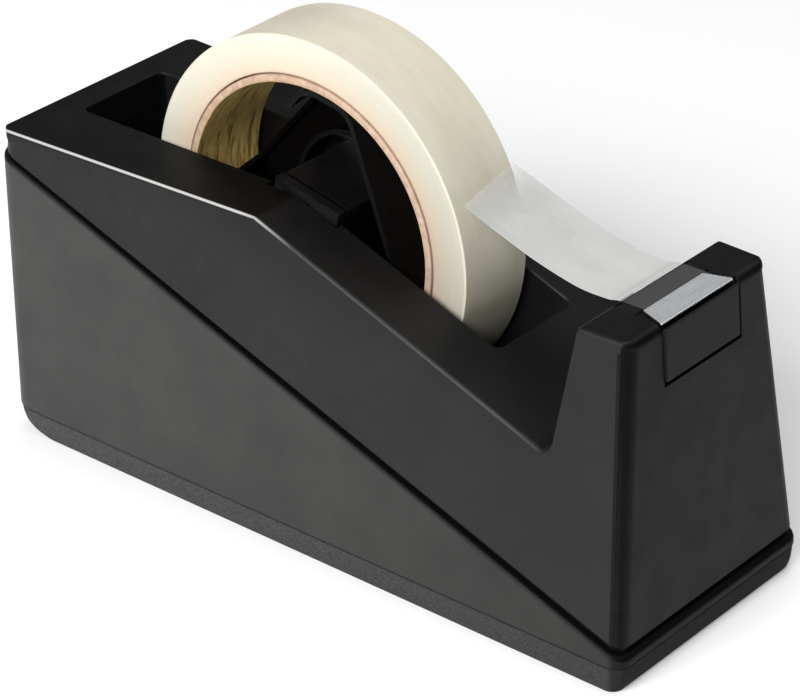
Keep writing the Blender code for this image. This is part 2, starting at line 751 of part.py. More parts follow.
def make_hub(material, parent):
    """Two full walls and a low one around a back plate, with a collar for the spindle."""
    hub = add_object("core_hub", hub_loft(0.0, (HUB_NEAR_Y, HUB_FAR_Y)), material)
    hollow = hub_loft(HUB_WALL, (HUB_NEAR_Y - HUB_CUT_MARGIN, HUB_FAR_Y - HUB_BACK_PLATE))
    boolean(hub, add_object("hub_hollow", hollow))
    open_side = HUB_TURN + math.pi / 3
    across = Vector((-math.sin(open_side), math.cos(open_side)))
    outward = Vector((math.cos(open_side), math.sin(open_side)))
    half = across * HUB_WINDOW_HALF
    inner, outer = outward * HUB_WINDOW_INNER, outward * HUB_WINDOW_OUTER
    corners = [tuple(corner) for corner in (inner - half, inner + half, outer + half, outer - half)]
    window = side_prism(corners, HUB_NEAR_Y - HUB_CUT_MARGIN, HUB_FAR_Y - HUB_LOW_RIM)
    boolean(hub, add_object("hub_window", window))
    collar = cylinder_y(HUB_COLLAR_START, HUB_FAR_Y, HUB_BORE_RADIUS + HUB_WALL, 48)
    boolean(hub, add_object("hub_collar", collar), "UNION")
    bore = cylinder_y(-HUB_WINDOW_HALF, HUB_WINDOW_HALF, HUB_BORE_RADIUS, 48)
    boolean(hub, add_object("hub_bore", bore))
    hub.parent = parent
    for modifier in hub.modifiers:
        modifier.object.parent = parent


def make_reel(card, film, plastic):
    """Core, tape and hub turn together about the reel axis."""
    axis = bpy.data.objects.new("reel_axis", None)
    axis.location = (AXIS_X, 0.0, AXIS_Z)
    bpy.context.scene.collection.objects.link(axis)
    core_outer = CORE_BORE_RADIUS + CORE_WALL
    core = turned_ring(CORE_BORE_RADIUS, core_outer, CORE_WIDTH / 2, 0.0003)
    add_object("tape_core", core, card).parent = axis
    roll = turned_ring(core_outer + GAP, ROLL_RADIUS, TAPE_WIDTH / 2, 0.0003)
    add_object("tape_roll", roll, film).parent = axis
    make_hub(plastic, axis)


def make_spindle(material):
    """Barrel, two necks and two end tongues in one moulding, lofted along Y."""
    barrel = spindle_outline(SPINDLE_LEFT, SPINDLE_RIGHT, SPINDLE_BOTTOM, SPINDLE_TOP, 0.0014)
    neck = spindle_outline(
        SPINDLE_LEFT + NECK_INSET,
        SPINDLE_RIGHT - NECK_INSET,
        TONGUE_BOTTOM + NECK_INSET,
        SPINDLE_TOP - NECK_INSET,
        0.0010,
    )
    tongue = spindle_outline(SPINDLE_LEFT, SPINDLE_RIGHT, TONGUE_BOTTOM, SPINDLE_TOP, 0.0008)
    y1 = SPINDLE_HALF_LENGTH
    y2 = y1 + NECK_LENGTH
    y3 = y2 + TONGUE_THICKNESS
    stations = ((y1, barrel), (y1, neck), (y2, neck), (y2, tongue), (y3, tongue))
    ordered = [(-y, section) for y, section in reversed(stations)] + list(stations)
    rings = [[(AXIS_X + x, y, AXIS_Z + z) for x, z in section] for y, section in ordered]
    add_object("spindle", loft(rings), material)


def make_strip(film):
    """The free end of the tape, from the roll down to the blade."""
    rings = []
    for start, y in ((STRIP_RIGHT_START, -TAPE_WIDTH / 2), (STRIP_LEFT_START, TAPE_WIDTH / 2)):
        path = (start,) + STRIP_PATH
        lower = [(x, y, z - STRIP_THICKNESS / 2) for x, z in path]
        upper = [(x, y, z + STRIP_THICKNESS / 2) for x, z in reversed(path)]
        rings.append(lower + upper)
    add_object("tape_strip", loft(rings), film)


def main():
    clear_scene()
    cover_plastic = make_material("cover_plastic", (0.020, 0.020, 0.021), 0.55)
    housing_plastic = make_material("housing_plastic", (0.045, 0.045, 0.043), 0.60)
    pad_foam = make_material("pad_foam", (0.050, 0.050, 0.052), 0.90)
    hub_plastic = make_material("hub_plastic", (0.022, 0.021, 0.022), 0.50)
    steel = make_material("blade_steel", (0.62, 0.64, 0.66), 0.25, 1.0)
    iron = make_material("ballast_iron", (0.15, 0.15, 0.15), 0.70, 1.0)
    zinc = make_material("screw_steel", (0.55, 0.55, 0.53), 0.35, 1.0)
    card = make_material("core_card", (0.45, 0.33, 0.17), 0.85)
    film = make_material("tape_film", (0.85, 0.83, 0.72), 0.30)
    make_cover(cover_plastic)
    make_housing(housing_plastic)
    make_pad(pad_foam)
    make_ballast(iron)
    make_screws(zinc)
    make_holder(cover_plastic)
    make_blade(steel)
    make_reel(card, film, hub_plastic)
    make_spindle(hub_plastic)
    make_strip(film)


main()
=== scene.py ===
"""Looks of the desk tape dispenser: every visible piece as a finished mesh with its own material.

Metres, +Z up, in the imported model's frame. +X is the front of the dispenser.
"""

import math

import bmesh
import bpy
from mathutils import Matrix, Vector, noise


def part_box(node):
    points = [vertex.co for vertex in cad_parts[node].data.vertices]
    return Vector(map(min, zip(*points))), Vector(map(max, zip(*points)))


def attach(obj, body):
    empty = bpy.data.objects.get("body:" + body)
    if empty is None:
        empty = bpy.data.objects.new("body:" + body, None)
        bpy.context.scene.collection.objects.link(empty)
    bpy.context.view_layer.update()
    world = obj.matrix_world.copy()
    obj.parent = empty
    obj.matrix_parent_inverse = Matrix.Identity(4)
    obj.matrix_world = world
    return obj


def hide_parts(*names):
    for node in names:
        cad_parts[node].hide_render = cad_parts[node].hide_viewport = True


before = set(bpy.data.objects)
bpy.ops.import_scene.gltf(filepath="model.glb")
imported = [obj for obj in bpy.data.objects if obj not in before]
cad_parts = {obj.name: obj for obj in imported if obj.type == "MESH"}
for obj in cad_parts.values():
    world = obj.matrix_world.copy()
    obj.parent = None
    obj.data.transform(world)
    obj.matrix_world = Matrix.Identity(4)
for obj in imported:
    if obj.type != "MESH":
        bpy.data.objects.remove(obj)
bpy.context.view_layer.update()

# Places read from the frame
HOUSING_LOW, HOUSING_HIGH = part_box("lower_housing")
ROLL_LOW, ROLL_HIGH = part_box("tape_roll")
CORE_LOW, CORE_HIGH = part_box("tape_core")
HUB_LOW, HUB_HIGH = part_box("core_hub")
HOLDER_LOW, HOLDER_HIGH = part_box("blade_holder")
BLADE_LOW, BLADE_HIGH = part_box("cutting_blade")
HEAD_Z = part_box("upper_cover")[1].z
PAD_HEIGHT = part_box("grip_pad")[1].z
STRIP_HALF_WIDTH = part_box("tape_strip")[1].y

# Overall form, as the solids have it
LENGTH = HOUSING_HIGH.x - HOUSING_LOW.x
FRONT_X = HOUSING_HIGH.x
HALF_WIDTH = HOUSING_HIGH.y
SEAM_REAR_Z = HOUSING_HIGH.z
SEAM_FRONT_Z = 0.0099
TOP_BELOW_HEAD = 0.0006
TOP_Z = HEAD_Z - TOP_BELOW_HEAD
BEND_X = -0.0160
RAIL_SLOPE = math.radians(20.2)
VALLEY_X = 0.0757
HEAD_REAR_X = 0.0800
SIDE_DRAFT = math.radians(7.1)
FRONT_DRAFT = math.radians(4.7)
REAR_DRAFT = math.radians(3.0)
FRONT_CORNER_RADIUS = 0.0042
REAR_CORNER_RADIUS = 0.0068
EDGE_RADIUS = 0.0011
WALL = 0.0024
CAVITY_DROP = 0.0060
GAP = 0.0003
CLEAR_ABOVE = 0.010
SKIN = 0.0010
CORNER_STEPS = 12
MOULDED_BEVEL = 0.00025
BEVEL_ANGLE = math.radians(40.0)

# Rounding of the cover's corners in side view
HEAD_FRONT_RADIUS = 0.0028
HEAD_REAR_RADIUS = 0.0012
VALLEY_RADIUS = 0.0030
BEND_RADIUS = 0.0060
TAIL_RADIUS = 0.0010
SMALLEST_RADIUS = 0.0004

# Places in side_outline of the head's front corner, the valley and the top rear corner
HEAD_CORNER = 1
VALLEY_CORNER = 3
TAIL_CORNER = 5

# Shadow groove between the cover and the lower housing, whose rim is rounded
COVER_STEP = 0.0006
GROOVE_REAR_HEIGHT = 0.0014
GROOVE_FRONT_HEIGHT = 0.0024
GROOVE_DEPTH = 0.0013
RIM_ROUND = 0.0012
RIM_WIDTH = 0.0026
BOTTOM_ROUND = 0.0005
HOUSING_FLOOR = 0.0030

# Grip pad from the bottom up: height, insets at the front, rear and sides, radii at the front and rear
PAD_PROFILE = (
    (0.0000, 0.0020, 0.0030, 0.0011, 0.0030, 0.0115),
    (0.0012, 0.0013, 0.0023, 0.0007, 0.0034, 0.0090),
    (0.0030, 0.0007, 0.0016, 0.0004, 0.0038, 0.0070),
    (0.0052, 0.0003, 0.0007, 0.0002, FRONT_CORNER_RADIUS, REAR_CORNER_RADIUS),
    (PAD_HEIGHT, 0.0002, 0.0003, 0.0002, FRONT_CORNER_RADIUS, REAR_CORNER_RADIUS),
)

# Tape well
WELL_REAR_X = -0.0915
WELL_FRONT_X = 0.0463
WELL_HALF_WIDTH = 0.0149
WELL_FLOOR_Z = 0.0240
WELL_CORNER = 0.0022
WELL_LIP = 0.0008
WELL_LIP_TURN = math.radians(76)
WELL_LIP_STRETCH = 1.12
WELL_WALL = 0.0022

# Thickened walls that carry the spindle's tongues
BOSS_REAR_X = -0.0300
BOSS_REAR_Z = 0.0730
BOSS_FRONT_X = 0.0020
BOSS_FRONT_Z = 0.0690

# Reel
AXIS_X = (ROLL_LOW.x + ROLL_HIGH.x) / 2
AXIS_Z = (ROLL_LOW.z + ROLL_HIGH.z) / 2
ROLL_RADIUS = (ROLL_HIGH.x - ROLL_LOW.x) / 2
ROLL_SEGMENTS = 256
ROLL_EDGE = 0.00035
ROLL_LAYERS = 14
LAYER_WOBBLE = 0.00007
CORE_RADIUS = (CORE_HIGH.x - CORE_LOW.x) / 2
CORE_WALL = 0.0021
CORE_SEGMENTS = 192
CORE_EDGE = 0.0003
HUB_NEAR_FLAT = 0.0253
HUB_FAR_FLAT = 0.0280
HUB_CORNER = 0.0076
HUB_CLEARANCE = 0.0004
HUB_TOUCH_RADIUS = CORE_RADIUS - CORE_WALL - HUB_CLEARANCE
HUB_WALL = 0.0014
HUB_BACK_PLATE = 0.0016
HUB_LOW_RIM = 0.0030
HUB_BORE_RADIUS = 0.0178
HUB_BORE_REACH = 0.0200
HUB_COLLAR_START = 0.0060
HUB_WINDOW_HALF = 0.0200
HUB_WINDOW_INNER = 0.0200
HUB_WINDOW_OUTER = 0.0450
HUB_CUT_MARGIN = 0.0010
HUB_TURN = math.radians(80.0)

# Spindle
SPINDLE_TILT = math.radians(11.3)
SPINDLE_LEFT = -0.0090
SPINDLE_RIGHT = 0.0122
SPINDLE_TOP = 0.01237
SPINDLE_BOTTOM = -0.0090
SPINDLE_HALF_LENGTH = 0.0130
SPINDLE_BEVEL = 0.0002
BARREL_CORNER = 0.0014
NECK_INSET = 0.0016
NECK_LENGTH = 0.0009
NECK_CORNER = 0.0010
TONGUE_BOTTOM = 0.0020
TONGUE_THICKNESS = 0.0026
TONGUE_CORNER = 0.0008

# Cutter
HOLDER_LIP_Z = 0.0884
INSERT_GROOVE_WIDTH = 0.0014
INSERT_GROOVE_DEPTH = 0.0014
CHANNEL_DEPTH = 0.0018
LEDGE_LENGTH = 0.0026
BLADE_FRONT_HALF = BLADE_HIGH.y
BLADE_REAR_HALF = 0.0119
BLADE_THICKNESS = 0.0005
BLADE_LEG_HALF = 0.0110
BLADE_BEVEL = 0.00006
TOOTH_COUNT = 34
TOOTH_DEPTH = 0.0005

# Free end of the tape: (x, z) where its two edges leave the roll, then the path that they share
STRIP_LEFT_START = (0.0294, 0.1009)
STRIP_RIGHT_START = (0.0337, 0.0997)
STRIP_PATH = (
    (0.0380, 0.0980),
    (0.0450, 0.0955),
    (0.0560, 0.0920),
    (0.0680, 0.0894),
    (0.0765, 0.0892),
    (0.0797, 0.0898),
    (0.0830, 0.0900),
    (0.0938, 0.0900),
)
# Columns across the strip, steps between its path's points, and the film's thickness
STRIP_COLUMNS = 24
STRIP_STEPS = 8
FILM_THICKNESS = 0.00009

# Camera
CAMERA_PLACE = Vector((0.50285, -0.59577, 0.48180))
CAMERA_YAW = math.radians(39.78)
CAMERA_PITCH = math.radians(29.43)
CAMERA_ROLL = math.radians(-0.36)
SENSOR = 36.0
LENS = 157.6
SHIFT = (-0.0141, 0.0060)

# Colours of painted shade in the groove and at the foot, and of the painted highlight on the long top edges
GROOVE_PAINTED_SHADE = (0.0026, 0.0024, 0.0024)
FOOT_PAINTED_SHADE = (0.0030, 0.0029, 0.0028)
PAINTED_EDGE_HIGHLIGHT = (0.45, 0.44, 0.43)


# Mesh helpers

def add_object(name, mesh):
    """A new object from the mesh, with its faces pointing out."""
    bmesh.ops.recalc_face_normals(mesh, faces=mesh.faces)
    if mesh.calc_volume(signed=True) < 0:
        bmesh.ops.reverse_faces(mesh, faces=mesh.faces)
    data = bpy.data.meshes.new(name)
    mesh.to_mesh(data)
    mesh.free()
    placed = bpy.data.objects.new(name, data)
    bpy.context.scene.collection.objects.link(placed)
    return placed


def boolean(target, tool, operation="DIFFERENCE"):
    modifier = target.modifiers.new(tool.name, "BOOLEAN")
    modifier.operation = operation
    modifier.object = tool


def bake_modifiers(placed):
    """Replaces an object's mesh by what its modifiers make of it, and removes the Boolean tools."""
    tools = [m.object for m in placed.modifiers if m.type == "BOOLEAN"]
    graph = bpy.context.evaluated_depsgraph_get()
    data = bpy.data.meshes.new_from_object(placed.evaluated_get(graph))
    placed.modifiers.clear()
    placed.data = data
    for tool in tools:
        bpy.data.objects.remove(tool, do_unlink=True)


def finish_piece(placed, material, body, nodes, bevel=0.0, smooth_angle=35.0):
    """Rounds the sharp edges, smooths the shading and joins the piece to the frame."""
    bake_modifiers(placed)
    if bevel:
        rounding = placed.modifiers.new("round_edges", "BEVEL")
        rounding.width = bevel
        rounding.segments = 2
        rounding.limit_method = "ANGLE"
        rounding.angle_limit = BEVEL_ANGLE
        rounding.use_clamp_overlap = True
        rounding.miter_outer = "MITER_ARC"
        bake_modifiers(placed)
    placed.data.materials.clear()
    placed.data.materials.append(material)
    placed.data.shade_smooth()
    placed.data.set_sharp_from_angle(angle=math.radians(smooth_angle))
    weights = placed.modifiers.new("face_weights", "WEIGHTED_NORMAL")
    weights.keep_sharp = True
    weights.weight = 90
    bake_modifiers(placed)
    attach(placed, body)
    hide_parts(*nodes)


def loft(rings):
    """A closed skin through rings that have the same number of points."""
    mesh = bmesh.new()
    rows = [[mesh.verts.new(point) for point in ring] for ring in rings]
    count = len(rows[0])
    for lower, upper in zip(rows, rows[1:]):
        for i in range(count):
            j = (i + 1) % count
            mesh.faces.new((lower[i], lower[j], upper[j], upper[i]))
    mesh.faces.new(rows[0][::-1])
    mesh.faces.new(rows[-1])
    return mesh


def rounded_plan(rear_x, front_x, half_y, rear_radius, front_radius, steps):
    """Plan outline, anticlockwise, with steps + 1 points on each corner arc."""
    points = []
    for quarter, (front, side) in enumerate(((True, 1), (False, 1), (False, -1), (True, -1))):
        radius = front_radius if front else rear_radius
        cx = front_x - radius if front else rear_x + radius
        cy = side * (half_y - radius)
        for step in range(steps + 1):
            angle = math.pi / 2 * (quarter + step / steps)
            points.append((cx + radius * math.cos(angle), cy + radius * math.sin(angle)))
    return points


def box(low, high):
    (x0, y0, z0), (x1, y1, z1) = low, high
    outline = ((x0, y0), (x1, y0), (x1, y1), (x0, y1))
    return loft([[(x, y, z) for x, y in outline] for z in (z0, z1)])


def side_prism(outline, y0, y1):
    """An outline in side view, extruded from y0 to y1."""
    return loft([[(x, y, z) for x, z in outline] for y in (y0, y1)])


def cylinder_y(y0, y1, radius, segments=96):
    """A cylinder on the reel's axis."""
    turns = [2 * math.pi * i / segments for i in range(segments)]
    circle = [(radius * math.cos(a), radius * math.sin(a)) for a in turns]
    return side_prism([(AXIS_X + x, AXIS_Z + z) for x, z in circle], y0, y1)


def offset_outline(points, distance):
    """The closed outline with each side moved along its normal by the distance."""
    moved = []
    for i, here in enumerate(points):
        before = Vector(points[i - 1])
        after = Vector(points[(i + 1) % len(points)])
        here = Vector(here)
        first = (here - before).normalized()
        second = (after - here).normalized()
        n1 = Vector((-first.y, first.x))
        n2 = Vector((-second.y, second.x))
        moved.append(here + (n1 + n2) * distance / (1 + n1.dot(n2)))
    return moved


def fillet(before, corner, after, radius, steps):
    """Points on the arc that rounds a corner between its two neighbours."""
    to_before = (Vector(before) - Vector(corner)).normalized()
    to_after = (Vector(after) - Vector(corner)).normalized()
    half = to_before.angle(to_after) / 2
    bisector = (to_before + to_after).normalized()
    centre = Vector(corner) + bisector * radius / math.sin(half)
    start = Vector(corner) + to_before * radius / math.tan(half) - centre
    end = Vector(corner) + to_after * radius / math.tan(half) - centre
    sweep = start.angle_signed(end)
    points = []
    for step in range(steps + 1):
        angle = -sweep * step / steps
        turned = Vector((
            start.x * math.cos(angle) - start.y * math.sin(angle),
            start.x * math.sin(angle) + start.y * math.cos(angle),
        ))
        points.append(centre + turned)
    return points


def rounded_polygon(corners, radii, steps):
    """A closed outline whose corners are rounded where their radius isn't zero."""
    points = []
    for i, corner in enumerate(corners):
        if radii[i]:
            points += fillet(corners[i - 1], corner, corners[(i + 1) % len(corners)], radii[i], steps)
        else:
            points.append(Vector(corner))
    return points


def catmull_rom(p0, p1, p2, p3, t):
    """The point or number at t, from 0 to 1, on the smooth curve between p1 and p2."""
    return 0.5 * (
        2 * p1 + (p2 - p0) * t + (2 * p0 - 5 * p1 + 4 * p2 - p3) * t * t
        + (3 * p1 - p0 - 3 * p2 + p3) * t ** 3
    )


# Form of the cover

def seam_z(x):
    """Height of the inclined seam, which is the housing's rim."""
    return SEAM_REAR_Z + (SEAM_FRONT_Z - SEAM_REAR_Z) * (x + FRONT_X) / LENGTH


def cover_half_width(x, z):
    return HALF_WIDTH - COVER_STEP - (z - seam_z(x)) * math.tan(SIDE_DRAFT)


def front_wall_x(z):
    return FRONT_X - COVER_STEP - (z - SEAM_FRONT_Z) * math.tan(FRONT_DRAFT)


def rear_wall_x(z):
    return -FRONT_X + COVER_STEP + (z - SEAM_REAR_Z) * math.tan(REAR_DRAFT)


def rail_z(x):
    """Height of the top face: level at the rear, sloping down to the valley in front of the bend."""
    return TOP_Z - max(0.0, x - BEND_X) * math.tan(RAIL_SLOPE)


def lifted_seam_z(x):
    """Height of the cover's lower edge, which is the top of the shadow groove."""
    share = (x + FRONT_X) / LENGTH
    return seam_z(x) + GROOVE_REAR_HEIGHT + (GROOVE_FRONT_HEIGHT - GROOVE_REAR_HEIGHT) * share


def side_outline():
    """The cover's side view from the front foot over the head, valley and bend to the rear foot."""
    front_x = front_wall_x(lifted_seam_z(FRONT_X))
    rear_x = rear_wall_x(lifted_seam_z(-FRONT_X))
    return [
        (front_x, lifted_seam_z(front_x)),
        (front_wall_x(HEAD_Z), HEAD_Z),
        (HEAD_REAR_X, HEAD_Z),
        (VALLEY_X, rail_z(VALLEY_X)),
        (BEND_X, TOP_Z),
        (rear_wall_x(TOP_Z), TOP_Z),
        (rear_x, lifted_seam_z(rear_x)),
    ]


def cover_path(inset, edge_radius, steps):
    """Points of the rounded side view, each with the radius that rounds it towards the side faces."""
    radii = (None, HEAD_FRONT_RADIUS, HEAD_REAR_RADIUS, VALLEY_RADIUS, BEND_RADIUS, TAIL_RADIUS, None)
    outline = offset_outline(side_outline(), inset)
    path = []
    for i, point in enumerate(outline):
        if radii[i] is None:
            corner = REAR_CORNER_RADIUS if i else FRONT_CORNER_RADIUS
            path.append((Vector(point), corner if edge_radius else 0.0))
            continue
        grow = inset if i == VALLEY_CORNER else -inset
        radius = max(SMALLEST_RADIUS, radii[i] + grow)
        for step, spot in enumerate(fillet(outline[i - 1], point, outline[i + 1], radius, steps)):
            side = edge_radius
            if i == HEAD_CORNER and edge_radius:
                side += (FRONT_CORNER_RADIUS - edge_radius) * (1 - step / steps)
            if i == TAIL_CORNER and edge_radius:
                side += (REAR_CORNER_RADIUS - edge_radius) * step / steps
            path.append((spot, side))
    return path


def cover_form(inset, drop, edge_radius, steps):
    """The cover as a solid, or with an inset its inner cavity, which reaches below the seam by drop."""
    path = cover_path(inset, edge_radius, steps)
    last = len(path) - 1
    seam_run = (path[0][0] - path[last][0]).normalized()
    normals = [seam_run]
    for before, after in zip(path, path[2:]):
        run = after[0] - before[0]
        normals.append(Vector((run.y, -run.x)).normalized())
    normals.append(-seam_run)
    rings = []
    turns = [math.pi / 2 * step / steps for step in range(steps + 1)] if edge_radius else [0.0]
    for turn in turns:
        ring = []
        for (spot, side), normal in zip(path, normals):
            moved = spot - normal * side * (1 - math.sin(turn))
            half = cover_half_width(moved.x, moved.y) - inset - side * (1 - math.cos(turn))
            ring.append((moved.x, half, moved.y))
        rings.append(ring)
    mesh = bmesh.new()
    rows = [[mesh.verts.new((x, -y, z)) for x, y, z in ring] for ring in rings]
    rows += [[mesh.verts.new(point) for point in ring] for ring in reversed(rings)]
    for lower, upper in zip(rows, rows[1:]):
        for i in range(last):
            mesh.faces.new((lower[i], lower[i + 1], upper[i + 1], upper[i]))
    mesh.faces.new(rows[0])
    mesh.faces.new(rows[-1][::-1])
    edge = [row[0] for row in rows] + [row[-1] for row in reversed(rows)]
    if drop:
        lower = lowered_loop(mesh, edge, drop)
        join_loops(mesh, edge, lower)
        mesh.faces.new(lower)
        return mesh
    groove_top = inner_loop(mesh, edge, GROOVE_DEPTH)
    join_loops(mesh, edge, groove_top)
    neck_bottom = [mesh.verts.new((*vert.co.xy, seam_z(vert.co.x) + GAP)) for vert in groove_top]
    join_loops(mesh, groove_top, neck_bottom)
    mesh.faces.new(neck_bottom)
    return mesh


def inner_loop(mesh, loop, inset):
    """New points inside the loop of the cover's lower edge, moved inwards in plan and kept on its plane."""
    moved = []
    count = len(loop)
    for i, vert in enumerate(loop):
        run = loop[(i + 1) % count].co - loop[i - 1].co
        inward = Vector((-run.y, run.x)).normalized() * inset
        x = vert.co.x + inward.x
        z = vert.co.z + lifted_seam_z(x) - lifted_seam_z(vert.co.x)
        moved.append(mesh.verts.new((x, vert.co.y + inward.y, z)))
    return moved


def lowered_loop(mesh, loop, drop):
    return [mesh.verts.new(vert.co - Vector((0, 0, drop))) for vert in loop]


def join_loops(mesh, first, second):
    count = len(first)
    for i in range(count):
        j = (i + 1) % count
        mesh.faces.new((first[i], first[j], second[j], second[i]))


def well_cutter(steps=8):
    """The well: a rounded box whose top flares into a small lip that follows the bent top face."""
    def outline(grow):
        corner = WELL_CORNER + grow
        corners = rounded_plan(
            WELL_REAR_X - grow, WELL_FRONT_X + grow, WELL_HALF_WIDTH + grow, corner, corner, steps
        )
        points = []
        for i, (x, y) in enumerate(corners):
            points.append((x, y))
            next_x = corners[(i + 1) % len(corners)][0]
            if (x - BEND_X) * (next_x - BEND_X) < 0:
                points.append((BEND_X, y))
        return points

    rings = [[(x, y, WELL_FLOOR_Z) for x, y in outline(0.0)]]
    for step in range(steps):
        turn = WELL_LIP_TURN * step / (steps - 1)
        grow = WELL_LIP * (1 - math.cos(turn))
        sink = WELL_LIP * (1 - WELL_LIP_STRETCH * math.sin(turn))
        rings.append([(x, y, rail_z(x) - sink) for x, y in outline(grow)])
    rings.append([(x, y, TOP_Z + CLEAR_ABOVE) for x, y in outline(WELL_LIP)])
    return loft(rings)


def spindle_section(left, right, bottom, top, corner=0.0, steps=4):
    """A section of the tilted spindle, stated about the reel's axis before the tilt."""
    square = [(left, bottom), (right, bottom), (right, top), (left, top)]
    points = rounded_polygon(square, [corner] * 4, steps)
    cos, sin = math.cos(SPINDLE_TILT), math.sin(SPINDLE_TILT)
    return [(AXIS_X + u * cos + v * sin, AXIS_Z + v * cos - u * sin) for u, v in points]


def recess_outline():
    """The open-topped recess in a rail, which one of the spindle's tongues drops into."""
    low_left, low_right, high_right, _ = spindle_section(
        SPINDLE_LEFT - GAP, SPINDLE_RIGHT + GAP, TONGUE_BOTTOM - GAP, SPINDLE_TOP
    )
    right = high_right[0] + GAP
    above = TOP_Z + CLEAR_ABOVE
    return [low_left, low_right, (right, high_right[1]), (right, above), (low_left[0], above)]


def corner_trim():
    """Upright block whose rear corners are rounded in plan; the cover keeps what lies inside it."""
    plan = rounded_plan(
        -FRONT_X + COVER_STEP, FRONT_X + CLEAR_ABOVE, HALF_WIDTH - COVER_STEP,
        REAR_CORNER_RADIUS, FRONT_CORNER_RADIUS, CORNER_STEPS,
    )
    return loft([[(x, y, z) for x, y in plan] for z in (-CLEAR_ABOVE, HEAD_Z + CLEAR_ABOVE)])


def build_cover(material):
    cover = add_object("cover_shell", cover_form(0.0, 0.0, EDGE_RADIUS, 8))
    boolean(cover, add_object("corner_trim", corner_trim()), "INTERSECT")
    boolean(cover, add_object("cover_cavity", cover_form(WALL, CAVITY_DROP, 0.0, 3)))
    front = WELL_FRONT_X + WELL_WALL
    block = [
        (WELL_REAR_X - WELL_WALL, WELL_FLOOR_Z - WELL_WALL),
        (front, WELL_FLOOR_Z - WELL_WALL),
        (front, rail_z(front) - SKIN),
        (BEND_X, TOP_Z - SKIN),
        (WELL_REAR_X - WELL_WALL, TOP_Z - SKIN),
    ]
    half = WELL_HALF_WIDTH + WELL_WALL
    boolean(cover, add_object("well_block", side_prism(block, -half, half)), "UNION")
    boss = [
        (BOSS_REAR_X, BOSS_REAR_Z),
        (BOSS_FRONT_X, BOSS_FRONT_Z),
        (BOSS_FRONT_X, rail_z(BOSS_FRONT_X) - SKIN),
        (BEND_X, TOP_Z - SKIN),
        (BOSS_REAR_X, TOP_Z - SKIN),
    ]
    half += TONGUE_THICKNESS
    boolean(cover, add_object("spindle_boss", side_prism(boss, -half, half)), "UNION")
    seat_floor = HOLDER_LOW.z - WALL
    seat = [
        (HOLDER_LOW.x - GAP - WALL, seat_floor),
        (front_wall_x(seat_floor) - SKIN / 2, seat_floor),
        (front_wall_x(HEAD_Z - SKIN) - SKIN / 2, HEAD_Z - SKIN),
        (HEAD_REAR_X - SKIN / 2, HEAD_Z - 2 * SKIN),
    ]
    half = HOLDER_HIGH.y + GAP + WALL
    boolean(cover, add_object("holder_seat", side_prism(seat, -half, half)), "UNION")
    boolean(cover, add_object("well", well_cutter()))
    half = WELL_HALF_WIDTH + TONGUE_THICKNESS
    boolean(cover, add_object("spindle_recess", side_prism(recess_outline(), -half, half)))
    half = HOLDER_HIGH.y + GAP
    notch = box((HOLDER_LOW.x - GAP, -half, HOLDER_LOW.z - GAP), (FRONT_X, half, HEAD_Z + CLEAR_ABOVE))
    boolean(cover, add_object("holder_notch", notch))
    groove = box(
        (front_wall_x(HEAD_Z) - INSERT_GROOVE_DEPTH, -half, HOLDER_LOW.z - INSERT_GROOVE_WIDTH),
        (FRONT_X, HOLDER_HIGH.y + INSERT_GROOVE_WIDTH, HEAD_Z + CLEAR_ABOVE),
    )
    boolean(cover, add_object("insert_groove", groove))
    finish_piece(cover, material, "base", ["upper_cover"], bevel=MOULDED_BEVEL)


def build_housing(material):
    def ring(inset, height):
        outline = rounded_plan(
            -FRONT_X + inset,
            FRONT_X - inset,
            HALF_WIDTH - inset,
            REAR_CORNER_RADIUS - inset,
            FRONT_CORNER_RADIUS - inset,
            CORNER_STEPS,
        )
        return [(x, y, height(x)) for x, y in outline]

    bottom = HOUSING_LOW.z
    bottom_steps = 4
    rim_steps = 8
    rings = []
    for step in range(bottom_steps + 1):
        turn = math.pi / 2 * step / bottom_steps
        rise = BOTTOM_ROUND * (1 - math.cos(turn))
        rings.append(ring(BOTTOM_ROUND * (1 - math.sin(turn)), lambda x, rise=rise: bottom + rise))
    for step in range(rim_steps + 1):
        turn = math.pi / 2 * step / rim_steps
        sink = RIM_ROUND * (1 - math.sin(turn))
        rings.append(ring(RIM_ROUND * (1 - math.cos(turn)), lambda x, sink=sink: seam_z(x) - sink))
    rings.append(ring(RIM_WIDTH, seam_z))
    rings.append(ring(RIM_WIDTH, lambda x: bottom + HOUSING_FLOOR))
    housing = add_object("housing_shell", loft(rings))
    finish_piece(housing, material, "base", ["lower_housing"])


def pad_levels(per_span):
    """The pad's profile with smooth levels between the stated ones."""
    padded = (PAD_PROFILE[0],) + PAD_PROFILE + (PAD_PROFILE[-1],)
    for i in range(1, len(padded) - 2):
        for step in range(per_span):
            yield [catmull_rom(*values, step / per_span) for values in zip(*padded[i - 1:i + 3])]
    yield PAD_PROFILE[-1]


def build_pad(material):
    rings = []
    for z, front, rear, side, front_radius, rear_radius in pad_levels(5):
        outline = rounded_plan(
            -FRONT_X + rear, FRONT_X - front, HALF_WIDTH - side, rear_radius, front_radius, CORNER_STEPS
        )
        rings.append([(x, y, z) for x, y in outline])
    pad = add_object("foam_pad", loft(rings))
    finish_piece(pad, material, "base", ["grip_pad"], smooth_angle=50)


# Cutter

